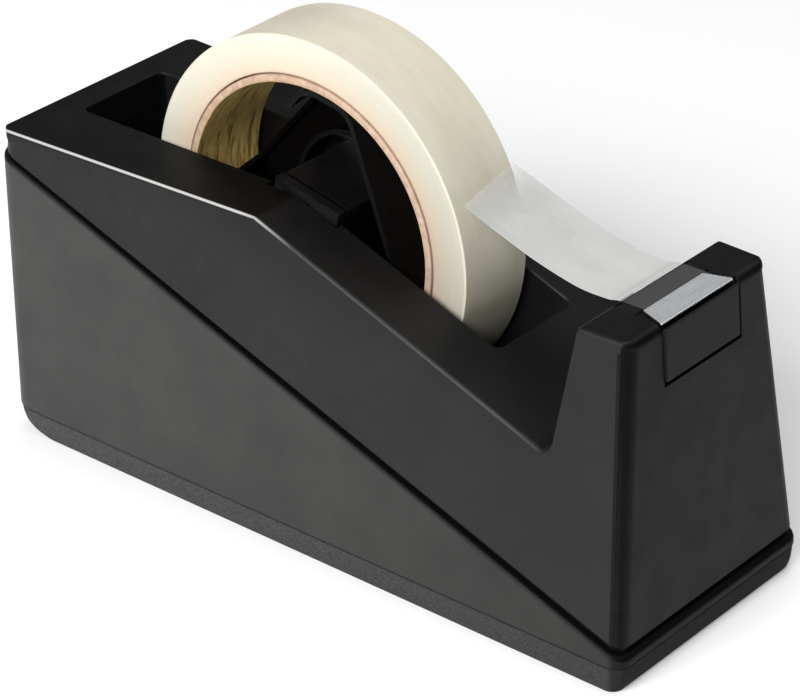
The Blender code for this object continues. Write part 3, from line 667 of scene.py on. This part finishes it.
def build_holder(material):
    ledge = BLADE_HIGH.z - BLADE_THICKNESS - GAP
    front = HOLDER_HIGH.x
    lip_front = front - (HOLDER_LIP_Z - HOLDER_LOW.z) * math.tan(FRONT_DRAFT)
    tip = BLADE_HIGH.x
    outline = [
        (HOLDER_LOW.x, HOLDER_LOW.z),
        (front, HOLDER_LOW.z),
        (lip_front, HOLDER_LIP_Z),
        (tip + 2 * GAP, HOLDER_LIP_Z),
        (tip + GAP, HOLDER_LIP_Z - CHANNEL_DEPTH),
        (tip - LEDGE_LENGTH + GAP, HOLDER_LIP_Z - CHANNEL_DEPTH),
        (tip - LEDGE_LENGTH, ledge),
        (BLADE_LOW.x - GAP, ledge),
        (BLADE_LOW.x - 2 * GAP, HOLDER_HIGH.z),
        (HOLDER_LOW.x, HOLDER_HIGH.z),
    ]
    half = HOLDER_HIGH.y
    holder = add_object("cutter_insert", side_prism(outline, -half, half))
    slot = box(
        (BLADE_LOW.x - GAP, -BLADE_LEG_HALF - GAP, BLADE_LOW.z - GAP),
        (BLADE_LOW.x + BLADE_THICKNESS + GAP, BLADE_LEG_HALF + GAP, HOLDER_HIGH.z + SKIN),
    )
    boolean(holder, add_object("blade_slot", slot))
    finish_piece(holder, material, "base", ["blade_holder"], bevel=MOULDED_BEVEL)


def build_blade(material):
    root_x = BLADE_HIGH.x - TOOTH_DEPTH
    pitch = 2 * BLADE_FRONT_HALF / TOOTH_COUNT
    outline = [(BLADE_LOW.x, BLADE_REAR_HALF), (BLADE_LOW.x, -BLADE_REAR_HALF)]
    for tooth in range(TOOTH_COUNT):
        start = -BLADE_FRONT_HALF + tooth * pitch
        outline.append((root_x, start))
        outline.append((BLADE_HIGH.x, start + pitch / 2))
    outline.append((root_x, BLADE_FRONT_HALF))
    low, high = BLADE_HIGH.z - BLADE_THICKNESS, BLADE_HIGH.z
    blade = add_object("toothed_blade", loft([[(x, y, z) for x, y in outline] for z in (low, high)]))
    leg = box(
        (BLADE_LOW.x, -BLADE_LEG_HALF, BLADE_LOW.z),
        (BLADE_LOW.x + BLADE_THICKNESS, BLADE_LEG_HALF, high - BLADE_THICKNESS / 2),
    )
    boolean(blade, add_object("blade_leg", leg), "UNION")
    finish_piece(blade, material, "base", ["cutting_blade"], bevel=BLADE_BEVEL)


# Reel

def turned_ring(section, segments):
    """Turns a closed (radius, y) section about the reel's axis."""
    mesh = bmesh.new()
    columns = []
    for i in range(segments):
        a = 2 * math.pi * i / segments
        column = []
        for radius, y in section:
            column.append(mesh.verts.new((
                AXIS_X + radius * math.cos(a), y, AXIS_Z + radius * math.sin(a),
            )))
        columns.append(column)
    count = len(columns[0])
    for i, column in enumerate(columns):
        after = columns[(i + 1) % segments]
        for j in range(count):
            k = (j + 1) % count
            mesh.faces.new((column[j], column[k], after[k], after[j]))
    return mesh


def build_roll(material):
    """The wound tape, whose faces wander a little from layer to layer."""
    inner = CORE_RADIUS + GAP
    outer = ROLL_RADIUS
    half = ROLL_HIGH.y
    edge = ROLL_EDGE

    def face(side):
        points = []
        for layer in range(ROLL_LAYERS + 1):
            radius = inner + edge + (outer - inner - 2 * edge) * layer / ROLL_LAYERS
            # These steps are large enough for unrelated values from layer to layer and side to side
            wobble = LAYER_WOBBLE * noise.noise(Vector((layer * 3.7, side * 9.1, 0.3)))
            points.append((radius, side * (half - LAYER_WOBBLE + wobble)))
        return points

    outer_side = [(outer, -half + edge), (outer, half - edge)]
    inner_side = [(inner, half - edge), (inner, -half + edge)]
    section = face(-1) + outer_side + face(1)[::-1] + inner_side
    roll = add_object("wound_tape", turned_ring(section, ROLL_SEGMENTS))
    finish_piece(roll, material, "reel", ["tape_roll"], smooth_angle=50)


def build_core(material):
    inner = CORE_RADIUS - CORE_WALL
    outer = CORE_RADIUS
    middle = (inner + outer) / 2
    half = CORE_HIGH.y
    edge = CORE_EDGE
    section = [
        (inner + edge, -half), (middle, -half), (outer - edge, -half),
        (outer, -half + edge), (outer, half - edge),
        (outer - edge, half), (middle, half), (inner + edge, half),
        (inner, half - edge), (inner, -half + edge),
    ]
    core = add_object("paper_core", turned_ring(section, CORE_SEGMENTS))
    finish_piece(core, material, "reel", ["tape_core"], smooth_angle=50)


def hub_outline(flat, touch, corner, steps=8):
    """A triangle whose blunt, rounded corners touch the core; its sides lie at flat from the axis."""
    turn = math.acos((flat - corner) / (touch - corner))
    points = []
    for index in range(3):
        middle = HUB_TURN + 2 * math.pi / 3 * index
        for side in (-1, 1):
            centre = middle + side * (math.pi / 3 - turn)
            first = middle - math.pi / 3 if side < 0 else centre
            last = centre if side < 0 else middle + math.pi / 3
            for step in range(steps + 1):
                angle = first + (last - first) * step / steps
                points.append((
                    (touch - corner) * math.cos(centre) + corner * math.cos(angle),
                    (touch - corner) * math.sin(centre) + corner * math.sin(angle),
                ))
    return points


def hub_loft(inset, stations):
    """The hub's body, or with an inset its hollow, between the stations along the axis."""
    rings = []
    for y in stations:
        run = (y - HUB_LOW.y) / (HUB_HIGH.y - HUB_LOW.y)
        flat = HUB_NEAR_FLAT + (HUB_FAR_FLAT - HUB_NEAR_FLAT) * run
        section = hub_outline(flat - inset, HUB_TOUCH_RADIUS - inset, HUB_CORNER - inset)
        rings.append([(AXIS_X + x, y, AXIS_Z + z) for x, z in section])
    return loft(rings)


def build_hub(material):
    near, far = HUB_LOW.y, HUB_HIGH.y
    hub = add_object("reel_hub", hub_loft(0.0, (near, far)))
    hollow = hub_loft(HUB_WALL, (near - HUB_CUT_MARGIN, far - HUB_BACK_PLATE))
    boolean(hub, add_object("hub_hollow", hollow))
    open_side = HUB_TURN + math.pi / 3
    across = Vector((-math.sin(open_side), math.cos(open_side)))
    outward = Vector((math.cos(open_side), math.sin(open_side)))
    window = []
    for along, out in (
        (-HUB_WINDOW_HALF, HUB_WINDOW_INNER),
        (HUB_WINDOW_HALF, HUB_WINDOW_INNER),
        (HUB_WINDOW_HALF, HUB_WINDOW_OUTER),
        (-HUB_WINDOW_HALF, HUB_WINDOW_OUTER),
    ):
        spot = across * along + outward * out
        window.append((AXIS_X + spot.x, AXIS_Z + spot.y))
    boolean(hub, add_object("hub_window", side_prism(window, near - HUB_CUT_MARGIN, far - HUB_LOW_RIM)))
    collar = cylinder_y(HUB_COLLAR_START, far, HUB_BORE_RADIUS + HUB_WALL)
    boolean(hub, add_object("hub_collar", collar), "UNION")
    bore = cylinder_y(-HUB_BORE_REACH, HUB_BORE_REACH, HUB_BORE_RADIUS)
    boolean(hub, add_object("hub_bore", bore))
    finish_piece(hub, material, "reel", ["core_hub"], bevel=MOULDED_BEVEL)


def build_spindle(material):
    barrel = spindle_section(
        SPINDLE_LEFT, SPINDLE_RIGHT, SPINDLE_BOTTOM, SPINDLE_TOP, BARREL_CORNER,
    )
    neck = spindle_section(
        SPINDLE_LEFT + NECK_INSET, SPINDLE_RIGHT - NECK_INSET,
        TONGUE_BOTTOM + NECK_INSET, SPINDLE_TOP - NECK_INSET, NECK_CORNER,
    )
    tongue = spindle_section(
        SPINDLE_LEFT, SPINDLE_RIGHT, TONGUE_BOTTOM, SPINDLE_TOP, TONGUE_CORNER,
    )
    y1 = SPINDLE_HALF_LENGTH
    y2 = y1 + NECK_LENGTH
    y3 = y2 + TONGUE_THICKNESS
    stations = ((y1, barrel), (y1, neck), (y2, neck), (y2, tongue), (y3, tongue))
    ordered = [(-y, section) for y, section in reversed(stations)] + list(stations)
    rings = [[(x, y, z) for x, z in section] for y, section in ordered]
    spindle = add_object("reel_spindle", loft(rings))
    finish_piece(spindle, material, "spindle_set", ["spindle"], bevel=SPINDLE_BEVEL)


# Free end of the tape

def smooth_path(points, per_span):
    """Points on a Catmull-Rom curve through the given ones."""
    padded = [points[0]] + list(points) + [points[-1]]
    found = []
    for i in range(1, len(padded) - 2):
        controls = [Vector(point) for point in padded[i - 1:i + 3]]
        for step in range(per_span):
            found.append(catmull_rom(*controls, step / per_span))
    found.append(Vector(points[-1]))
    return found


def build_strip(material):
    """A thin curved sheet: from its right edge to its left, each column starts a little further back."""
    half = STRIP_HALF_WIDTH
    mesh = bmesh.new()
    columns = []
    for i in range(STRIP_COLUMNS + 1):
        share = i / STRIP_COLUMNS
        start = Vector(STRIP_RIGHT_START).lerp(Vector(STRIP_LEFT_START), share)
        path = smooth_path((start,) + STRIP_PATH, STRIP_STEPS)
        columns.append([mesh.verts.new((x, -half + 2 * half * share, z)) for x, z in path])
    for left, right in zip(columns, columns[1:]):
        for i in range(len(left) - 1):
            mesh.faces.new((left[i], left[i + 1], right[i + 1], right[i]))
    strip = add_object("free_tape", mesh)
    thick = strip.modifiers.new("thickness", "SOLIDIFY")
    thick.thickness = FILM_THICKNESS
    thick.offset = 0.0
    finish_piece(strip, material, "spindle_set", ["tape_strip"], smooth_angle=60)


# Materials

class Nodes:
    """Short ways to add shader nodes to one material."""

    def __init__(self, name):
        self.material = bpy.data.materials.new(name)
        self.material.use_nodes = True
        self.tree = self.material.node_tree
        self.shader = self.tree.nodes["Principled BSDF"]
        self.position = self.add("ShaderNodeTexCoord").outputs["Object"]

    def add(self, kind, **settings):
        node = self.tree.nodes.new(kind)
        for key, value in settings.items():
            setattr(node, key, value)
        return node

    def link(self, output, socket):
        self.tree.links.new(output, socket)

    def noise(self, scale, detail=2.0, roughness=0.5, source=None, stretch=None):
        source = source or self.position
        if stretch:
            mapping = self.add("ShaderNodeMapping")
            mapping.inputs["Scale"].default_value = stretch
            self.link(source, mapping.inputs["Vector"])
            source = mapping.outputs["Vector"]
        node = self.add("ShaderNodeTexNoise")
        node.inputs["Scale"].default_value = scale
        node.inputs["Detail"].default_value = detail
        node.inputs["Roughness"].default_value = roughness
        self.link(source, node.inputs["Vector"])
        return node.outputs["Fac"]

    def ramp(self, factor, *stops):
        """A colour ramp with stops of (place, colour)."""
        node = self.add("ShaderNodeValToRGB")
        elements = node.color_ramp.elements
        while len(elements) < len(stops):
            elements.new(0.5)
        for element, (place, colour) in zip(elements, stops):
            element.position = place
            element.color = (*colour, 1.0)
        self.link(factor, node.inputs["Fac"])
        return node.outputs["Color"]

    def span(self, factor, low, high, from_low=0.0, from_high=1.0):
        """Maps from_low to low and from_high to high, and stops there."""
        node = self.add("ShaderNodeMapRange")
        limits = {"From Min": from_low, "From Max": from_high, "To Min": low, "To Max": high}
        for key, value in limits.items():
            node.inputs[key].default_value = value
        self.link(factor, node.inputs["Value"])
        return node.outputs["Result"]

    def mix(self, factor, first, second, blend="MIX"):
        node = self.add("ShaderNodeMix", data_type="RGBA", blend_type=blend)
        sockets = node.inputs["Factor"], node.inputs[6], node.inputs[7]
        for value, socket in zip((factor, first, second), sockets):
            if hasattr(value, "is_linked"):
                self.link(value, socket)
            elif isinstance(value, float):
                socket.default_value = value
            else:
                socket.default_value = (*value, 1.0)
        return node.outputs[2]

    def math(self, operation, first, second=None):
        node = self.add("ShaderNodeMath", operation=operation)
        for value, socket in ((first, node.inputs[0]), (second, node.inputs[1])):
            if value is None:
                continue
            if hasattr(value, "is_linked"):
                self.link(value, socket)
            else:
                socket.default_value = value
        return node.outputs[0]

    def bump(self, height, distance, strength):
        node = self.add("ShaderNodeBump")
        node.inputs["Strength"].default_value = strength
        node.inputs["Distance"].default_value = distance
        self.link(height, node.inputs["Height"])
        return node.outputs["Normal"]

    def axis(self, index):
        """x, y or z of the place on the object, in metres."""
        node = self.add("ShaderNodeSeparateXYZ")
        self.link(self.position, node.inputs[0])
        return node.outputs[index]

    def set(self, **values):
        """Sets or links the shader's sockets, whose names are written with _ for each space."""
        for key, value in values.items():
            socket = self.shader.inputs[key.replace("_", " ")]
            if hasattr(value, "is_linked"):
                self.link(value, socket)
            else:
                socket.default_value = value


def above_seam(m):
    """Height above the inclined seam, as a shader value."""
    slope = (SEAM_FRONT_Z - SEAM_REAR_Z) / LENGTH
    seam = m.math("ADD", m.math("MULTIPLY", m.axis(0), slope), SEAM_REAR_Z + slope * FRONT_X)
    return m.math("SUBTRACT", m.axis(2), seam)


def groove_shade(m, low, below_top):
    """Painted shade in the groove: 1 from low above the seam up to below_top under the cover's edge, else 0.
    """
    height = above_seam(m)
    soft = 0.0004
    slope = (GROOVE_FRONT_HEIGHT - GROOVE_REAR_HEIGHT) / LENGTH
    middle = GROOVE_REAR_HEIGHT + slope * FRONT_X
    top = m.math("ADD", m.math("MULTIPLY", m.axis(0), slope), middle - below_top)
    over = m.span(height, 0.0, 1.0, low, low + soft)
    under = m.span(m.math("SUBTRACT", height, top), 1.0, 0.0, -soft / 4, 0.0)
    return m.math("MULTIPLY", over, under)


def facing_painted_shade(m, front, corner, top):
    """Painted shade: how much of the tone stays where a surface faces forwards, round the front corners, or
    up.
    """
    normal = m.add("ShaderNodeSeparateXYZ")
    m.link(m.add("ShaderNodeNewGeometry").outputs["True Normal"], normal.inputs[0])
    rise = normal.outputs[2]
    level = m.math("SUBTRACT", 1.0, m.math("MULTIPLY", rise, rise))
    shares = ((0.15, 1.0), (0.42, corner), (0.80, corner), (0.97, front))
    forward = m.ramp(
        m.math("MULTIPLY", normal.outputs[0], level), *((place, (share,) * 3) for place, share in shares)
    )
    upward = m.span(rise, 1.0, top, 0.88, 0.99)
    return m.math("MULTIPLY", forward, upward)


def long_edge_highlight(m):
    """1 on the cover's long top edges, where a highlight is painted, strongest at the level rear part."""
    x = m.axis(0)
    beyond = m.math("MAXIMUM", m.math("SUBTRACT", x, BEND_X), 0.0)
    top = m.math("SUBTRACT", TOP_Z, m.math("MULTIPLY", beyond, math.tan(RAIL_SLOPE)))
    below = m.math("ABSOLUTE", m.math("SUBTRACT", top, m.axis(2)))
    narrowing = m.math("MULTIPLY", above_seam(m), math.tan(SIDE_DRAFT))
    half = m.math("SUBTRACT", HALF_WIDTH - COVER_STEP, narrowing)
    inside = m.math("SUBTRACT", half, m.math("ABSOLUTE", m.axis(1)))
    line = m.span(m.math("MAXIMUM", below, inside), 1.0, 0.0, 0.42 * EDGE_RADIUS, 0.62 * EDGE_RADIUS)
    bright = m.span(x, 1.0, 0.05, BEND_X - 0.004, BEND_X + 0.012)
    ends = m.span(x, 1.0, 0.0, VALLEY_X - 0.012, VALLEY_X - 0.004)
    return m.math("MULTIPLY", line, m.math("MULTIPLY", bright, ends))


def painted_shade_share(m, front, corner, top, along):
    """Painted shade: the share by the way a surface faces, times a share that runs from along[0] at the rear
    to along[1] at the front.
    """
    lengthwise = m.span(m.axis(0), *along, -FRONT_X, FRONT_X)
    return m.math("MULTIPLY", facing_painted_shade(m, front, corner, top), lengthwise)


def textured_plastic(name, dark, light, rough, gloss=0.22, wear_and_highlight_lift=0.012, painted_shade=None, groove=None,
                     painted_highlight=False):
    """Moulded plastic with a fine spark-eroded texture, faint cloudy tone, edges lightened partly by wear
    and partly as a painted highlight, and dust.

    The painted shade by facing and along the length takes its numbers from kept, the painted shade in the
    groove and at the foot comes from groove, and polished adds a painted highlight on the long top edges.
    """
    m = Nodes(name)
    cloud = m.noise(34.0, 4.0, 0.6)
    fine = m.noise(2300.0, 3.0, 0.65)
    tone = m.ramp(cloud, (0.35, dark), (0.65, light))
    m.set(Specular_IOR_Level=gloss)
    # A linked level takes the place of the plain one
    if painted_shade:
        # Painted shade: tone and gloss drop where surfaces face forwards or up, and along the length
        keep = painted_shade_share(m, *painted_shade)
        tone = m.mix(1.0, tone, keep, "MULTIPLY")
        m.set(Specular_IOR_Level=m.math("MULTIPLY", keep, gloss))
    # Edges lighter by pointiness: partly wear, partly painted highlight
    edge = m.add("ShaderNodeNewGeometry").outputs["Pointiness"]
    edge_wear_and_highlight = m.math("MULTIPLY", m.span(edge, 0.0, 0.30, 0.52, 0.60), m.noise(260.0, 3.0, 0.6))
    tone = m.mix(edge_wear_and_highlight, tone, [min(1.0, c * 2.6 + wear_and_highlight_lift) for c in light])
    dust = m.span(m.noise(1500.0, 2.0, 0.75), 0.0, 0.6, 0.68, 0.80)
    tone = m.mix(dust, tone, [min(1.0, c * 1.6 + 0.004) for c in light])
    if painted_highlight:
        # Painted highlight along the cover's long top edges
        tone = m.mix(long_edge_highlight(m), tone, PAINTED_EDGE_HIGHLIGHT)
    if groove:
        # Painted shade in the groove between the cover and the housing
        tone = m.mix(groove_shade(m, *groove), tone, GROOVE_PAINTED_SHADE)
        # Painted shade at the joint above the pad
        foot = m.span(m.axis(2), 0.75, 0.0, PAD_HEIGHT + 0.0004, PAD_HEIGHT + 0.0010)
        tone = m.mix(foot, tone, FOOT_PAINTED_SHADE)
    m.set(Base_Color=tone)
    m.set(Roughness=m.span(m.noise(120.0, 4.0, 0.6), rough - 0.05, rough + 0.06, 0.3, 0.7))
    m.set(Normal=m.bump(fine, 0.00003, 0.6))
    return m.material


def foam_rubber(name):
    """Dark foam with open cells and a fine grain."""
    m = Nodes(name)
    cell = m.add("ShaderNodeTexVoronoi")
    cell.inputs["Scale"].default_value = 1400.0
    m.link(m.position, cell.inputs["Vector"])
    grain = m.noise(1900.0, 3.0, 0.7)
    tone = m.ramp(grain, (0.3, (0.036, 0.036, 0.036)), (0.7, (0.090, 0.089, 0.088)))
    # Painted shade: darker on the front faces and towards the front
    keep = painted_shade_share(m, 0.46, 0.46, 1.0, (1.0, 0.60))
    m.set(Base_Color=m.mix(1.0, tone, keep, "MULTIPLY"), Roughness=0.92, Specular_IOR_Level=0.15)
    height = m.math("ADD", cell.outputs["Distance"], grain)
    m.set(Normal=m.bump(height, 0.00012, 0.8))
    return m.material


def reel_radius(m):
    """Distance from the reel's axis, as a shader value."""
    x = m.math("SUBTRACT", m.axis(0), AXIS_X)
    z = m.math("SUBTRACT", m.axis(2), AXIS_Z)
    return m.math("SQRT", m.math("ADD", m.math("MULTIPLY", x, x), m.math("MULTIPLY", z, z)))


def wound_film(name):
    """Ivory wound film: layer lines on the faces, which are warmer near the core, and a plain outer turn."""
    m = Nodes(name)
    radius = reel_radius(m)
    layer_place = m.add("ShaderNodeCombineXYZ")
    m.link(radius, layer_place.inputs[0])
    layers = m.noise(5200.0, 3.0, 0.7, source=layer_place.outputs[0])
    wide = m.noise(700.0, 2.0, 0.6, source=layer_place.outputs[0])
    cloud = m.noise(55.0, 3.0, 0.6)
    lines = m.math("ADD", m.math("MULTIPLY", layers, 0.35), m.math("MULTIPLY", wide, 0.65))
    face = m.ramp(lines, (0.30, (0.58, 0.55, 0.44)), (0.70, (0.70, 0.67, 0.56)))
    tint = m.ramp(cloud, (0.35, (0.70, 0.65, 0.55)), (0.65, (0.64, 0.65, 0.53)))
    face = m.mix(0.45, face, tint)
    warm = m.span(radius, 0.75, 0.0, CORE_RADIUS, CORE_RADIUS + 0.0075)
    face = m.mix(warm, face, (0.66, 0.49, 0.35))
    # Painted shade: the faces darken towards the front
    shade = m.span(m.axis(0), 1.0, 0.76, AXIS_X - 0.005, AXIS_X + 0.045)
    face = m.mix(1.0, face, shade, "MULTIPLY")
    outside = m.span(radius, 0.0, 1.0, ROLL_RADIUS - 0.0006, ROLL_RADIUS - 0.0002)
    skin_cloud = m.noise(30.0, 3.0, 0.6, stretch=(1.0, 3.0, 1.0))
    skin = m.ramp(skin_cloud, (0.35, (0.61, 0.57, 0.45)), (0.65, (0.69, 0.65, 0.53)))
    m.set(Base_Color=m.mix(outside, face, skin))
    m.set(Roughness=m.span(layers, 0.34, 0.50, 0.3, 0.7))
    m.set(Normal=m.bump(layers, 0.00004, 0.5))
    m.set(Subsurface_Weight=0.25, Subsurface_Radius=(1.0, 0.9, 0.7), Subsurface_Scale=0.004)
    return m.material


def free_film(name):
    """Frosted single layer of film, clearer where it leaves the roll and where it lies on the head."""
    m = Nodes(name)
    cloud = m.noise(40.0, 3.0, 0.6, stretch=(1.0, 2.0, 1.0))
    m.set(Base_Color=m.ramp(cloud, (0.3, (0.56, 0.56, 0.545)), (0.7, (0.64, 0.64, 0.625))))
    m.set(Roughness=m.span(cloud, 0.22, 0.36, 0.3, 0.7))
    m.set(Normal=m.bump(m.noise(900.0, 2.0, 0.6, stretch=(0.3, 1.0, 1.0)), 0.00002, 0.5))
    hung = m.span(m.axis(0), 0.10, 0.86, STRIP_LEFT_START[0], STRIP_LEFT_START[0] + 0.014)
    stuck = m.span(m.axis(0), 1.0, 0.05, HEAD_REAR_X, HEAD_REAR_X + 0.0010)
    m.set(Alpha=m.math("MULTIPLY", hung, stuck))
    return m.material


def wound_card(name):
    """Yellow-brown card with darker streaks inside, and greyer plies on its rims."""
    m = Nodes(name)
    fibre = m.noise(420.0, 4.0, 0.7, stretch=(0.4, 1.0, 0.4))
    inner = CORE_RADIUS - CORE_WALL
    tone = m.ramp(fibre, (0.3, (0.56, 0.38, 0.10)), (0.7, (0.82, 0.60, 0.20)))
    stain = m.noise(230.0, 3.0, 0.75, stretch=(0.30, 1.9, 0.30))
    tone = m.mix(m.span(stain, 0.0, 0.75, 0.50, 0.60), tone, (0.16, 0.08, 0.02))
    rim = m.span(reel_radius(m), 0.0, 1.0, inner + 0.0001, inner + 0.0005)
    plies = m.ramp(m.noise(600.0, 3.0, 0.6), (0.35, (0.42, 0.28, 0.20)), (0.65, (0.55, 0.40, 0.29)))
    m.set(Base_Color=m.mix(rim, tone, plies))
    m.set(Roughness=m.span(fibre, 0.75, 0.92))
    m.set(Normal=m.bump(fibre, 0.00006, 0.6))
    return m.material


def bright_steel(name):
    """The blade's steel, brushed across."""
    m = Nodes(name)
    brush = m.noise(2500.0, 3.0, 0.6, stretch=(1.0, 0.05, 1.0))
    m.set(Base_Color=m.ramp(brush, (0.3, (0.60, 0.63, 0.66)), (0.7, (0.78, 0.80, 0.82))))
    m.set(Metallic=1.0, Roughness=m.span(brush, 0.22, 0.38, 0.3, 0.7))
    m.set(Normal=m.bump(brush, 0.00001, 0.4))
    return m.material


def rough_iron(name):
    """Cast ballast."""
    m = Nodes(name)
    grain = m.noise(500.0, 4.0, 0.6)
    m.set(Base_Color=m.ramp(grain, (0.3, (0.08, 0.075, 0.07)), (0.7, (0.17, 0.16, 0.15))))
    m.set(Metallic=0.8, Roughness=m.span(grain, 0.6, 0.85), Normal=m.bump(grain, 0.0002, 0.7))
    return m.material


def plated_steel(name):
    """Zinc-plated screws."""
    m = Nodes(name)
    grain = m.noise(800.0, 3.0, 0.6)
    m.set(Base_Color=m.ramp(grain, (0.3, (0.50, 0.50, 0.46)), (0.7, (0.62, 0.62, 0.58))))
    m.set(Metallic=1.0, Roughness=m.span(grain, 0.28, 0.42), Normal=m.bump(grain, 0.00002, 0.5))
    return m.material


def dress_hidden_pieces(iron, zinc):
    """The inner pieces keep their solids' meshes."""
    for name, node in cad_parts.items():
        if "screw" in name:
            material = zinc
        elif "ballast" in name:
            material = iron
        else:
            continue
        node.data.materials.clear()
        node.data.materials.append(material)


# Studio

def make_camera():
    data = bpy.data.cameras.new("camera")
    data.sensor_width = SENSOR
    data.lens = LENS
    data.shift_x, data.shift_y = SHIFT
    data.clip_start = 0.05
    data.clip_end = 20.0
    camera = bpy.data.objects.new("camera", data)
    bpy.context.scene.collection.objects.link(camera)
    yaw, pitch, roll = CAMERA_YAW, CAMERA_PITCH, CAMERA_ROLL
    forward = Vector((-math.sin(yaw) * math.cos(pitch), math.cos(yaw) * math.cos(pitch), -math.sin(pitch)))
    right = forward.cross(Vector((0, 0, 1))).normalized()
    up = right.cross(forward)
    right, up = (
        math.cos(roll) * right + math.sin(roll) * up,
        -math.sin(roll) * right + math.cos(roll) * up,
    )
    turn = Matrix((right, up, -forward)).transposed()
    camera.matrix_world = Matrix.Translation(CAMERA_PLACE) @ turn.to_4x4()
    bpy.context.scene.camera = camera


def area_light(name, place, target, size, power):
    data = bpy.data.lights.new(name, "AREA")
    data.shape = "RECTANGLE"
    data.size, data.size_y = size
    data.energy = power
    light = bpy.data.objects.new(name, data)
    light.location = place
    light.rotation_euler = (Vector(target) - Vector(place)).to_track_quat("-Z", "Y").to_euler()
    bpy.context.scene.collection.objects.link(light)


def make_studio():
    m = Nodes("studio_floor")
    m.set(Base_Color=m.ramp(m.noise(3.0), (0.3, (0.90,) * 3), (0.7, (0.92,) * 3)), Roughness=0.9)
    m.set(Emission_Color=(1.0, 1.0, 1.0, 1.0), Emission_Strength=0.14)
    floor = add_object("floor", box((-4, -4, -0.01), (4, 4, 0.0)))
    floor.data.materials.append(m.material)
    world = bpy.data.worlds.new("studio")
    world.use_nodes = True
    background = world.node_tree.nodes["Background"].inputs
    background["Color"].default_value = (0.9, 0.92, 0.95, 1.0)
    background["Strength"].default_value = 0.08
    bpy.context.scene.world = world
    bpy.context.scene.view_settings.view_transform = "Standard"
    area_light("key", (0.20, -1.28, 0.98), (0, 0, 0.04), (1.5, 0.5), 35.0)
    area_light("top", (0.1, 0.3, 1.7), (0, 0, 0.05), (1.2, 1.2), 12.0)
    area_light("back", (-0.90, 1.17, 1.03), (0.05, 0, 0.09), (1.0, 1.0), 1.6)


def main():
    # The cover and housing carry painted shade, and the cover also a painted highlight on its long top edges
    cover_plastic = textured_plastic(
        "cover_plastic", (0.0072, 0.0067, 0.0066), (0.0100, 0.0094, 0.0092), 0.46,
        painted_shade=(0.46, 0.28, 0.34, (0.92, 1.15)), groove=(-0.0010, 0.0001), painted_highlight=True,
    )
    housing_plastic = textured_plastic(
        "housing_plastic", (0.036, 0.035, 0.034), (0.048, 0.047, 0.045), 0.50,
        painted_shade=(0.52, 0.46, 1.0, (1.06, 0.60)), groove=(-0.0009, 0.0),
    )
    # Hub edges lighter, partly wear and partly painted highlight
    hub_plastic = textured_plastic(
        "hub_plastic", (0.0018, 0.0014, 0.0013), (0.0030, 0.0024, 0.0022), 0.38, gloss=0.06, wear_and_highlight_lift=0.060,
    )
    build_cover(cover_plastic)
    build_housing(housing_plastic)
    build_pad(foam_rubber("pad_foam"))
    build_holder(cover_plastic)
    build_blade(bright_steel("blade_steel"))
    build_roll(wound_film("tape_wound"))
    build_core(wound_card("core_card"))
    build_hub(hub_plastic)
    build_spindle(hub_plastic)
    build_strip(free_film("tape_free"))
    dress_hidden_pieces(rough_iron("ballast_iron"), plated_steel("screw_steel"))
    make_studio()
    make_camera()


main()
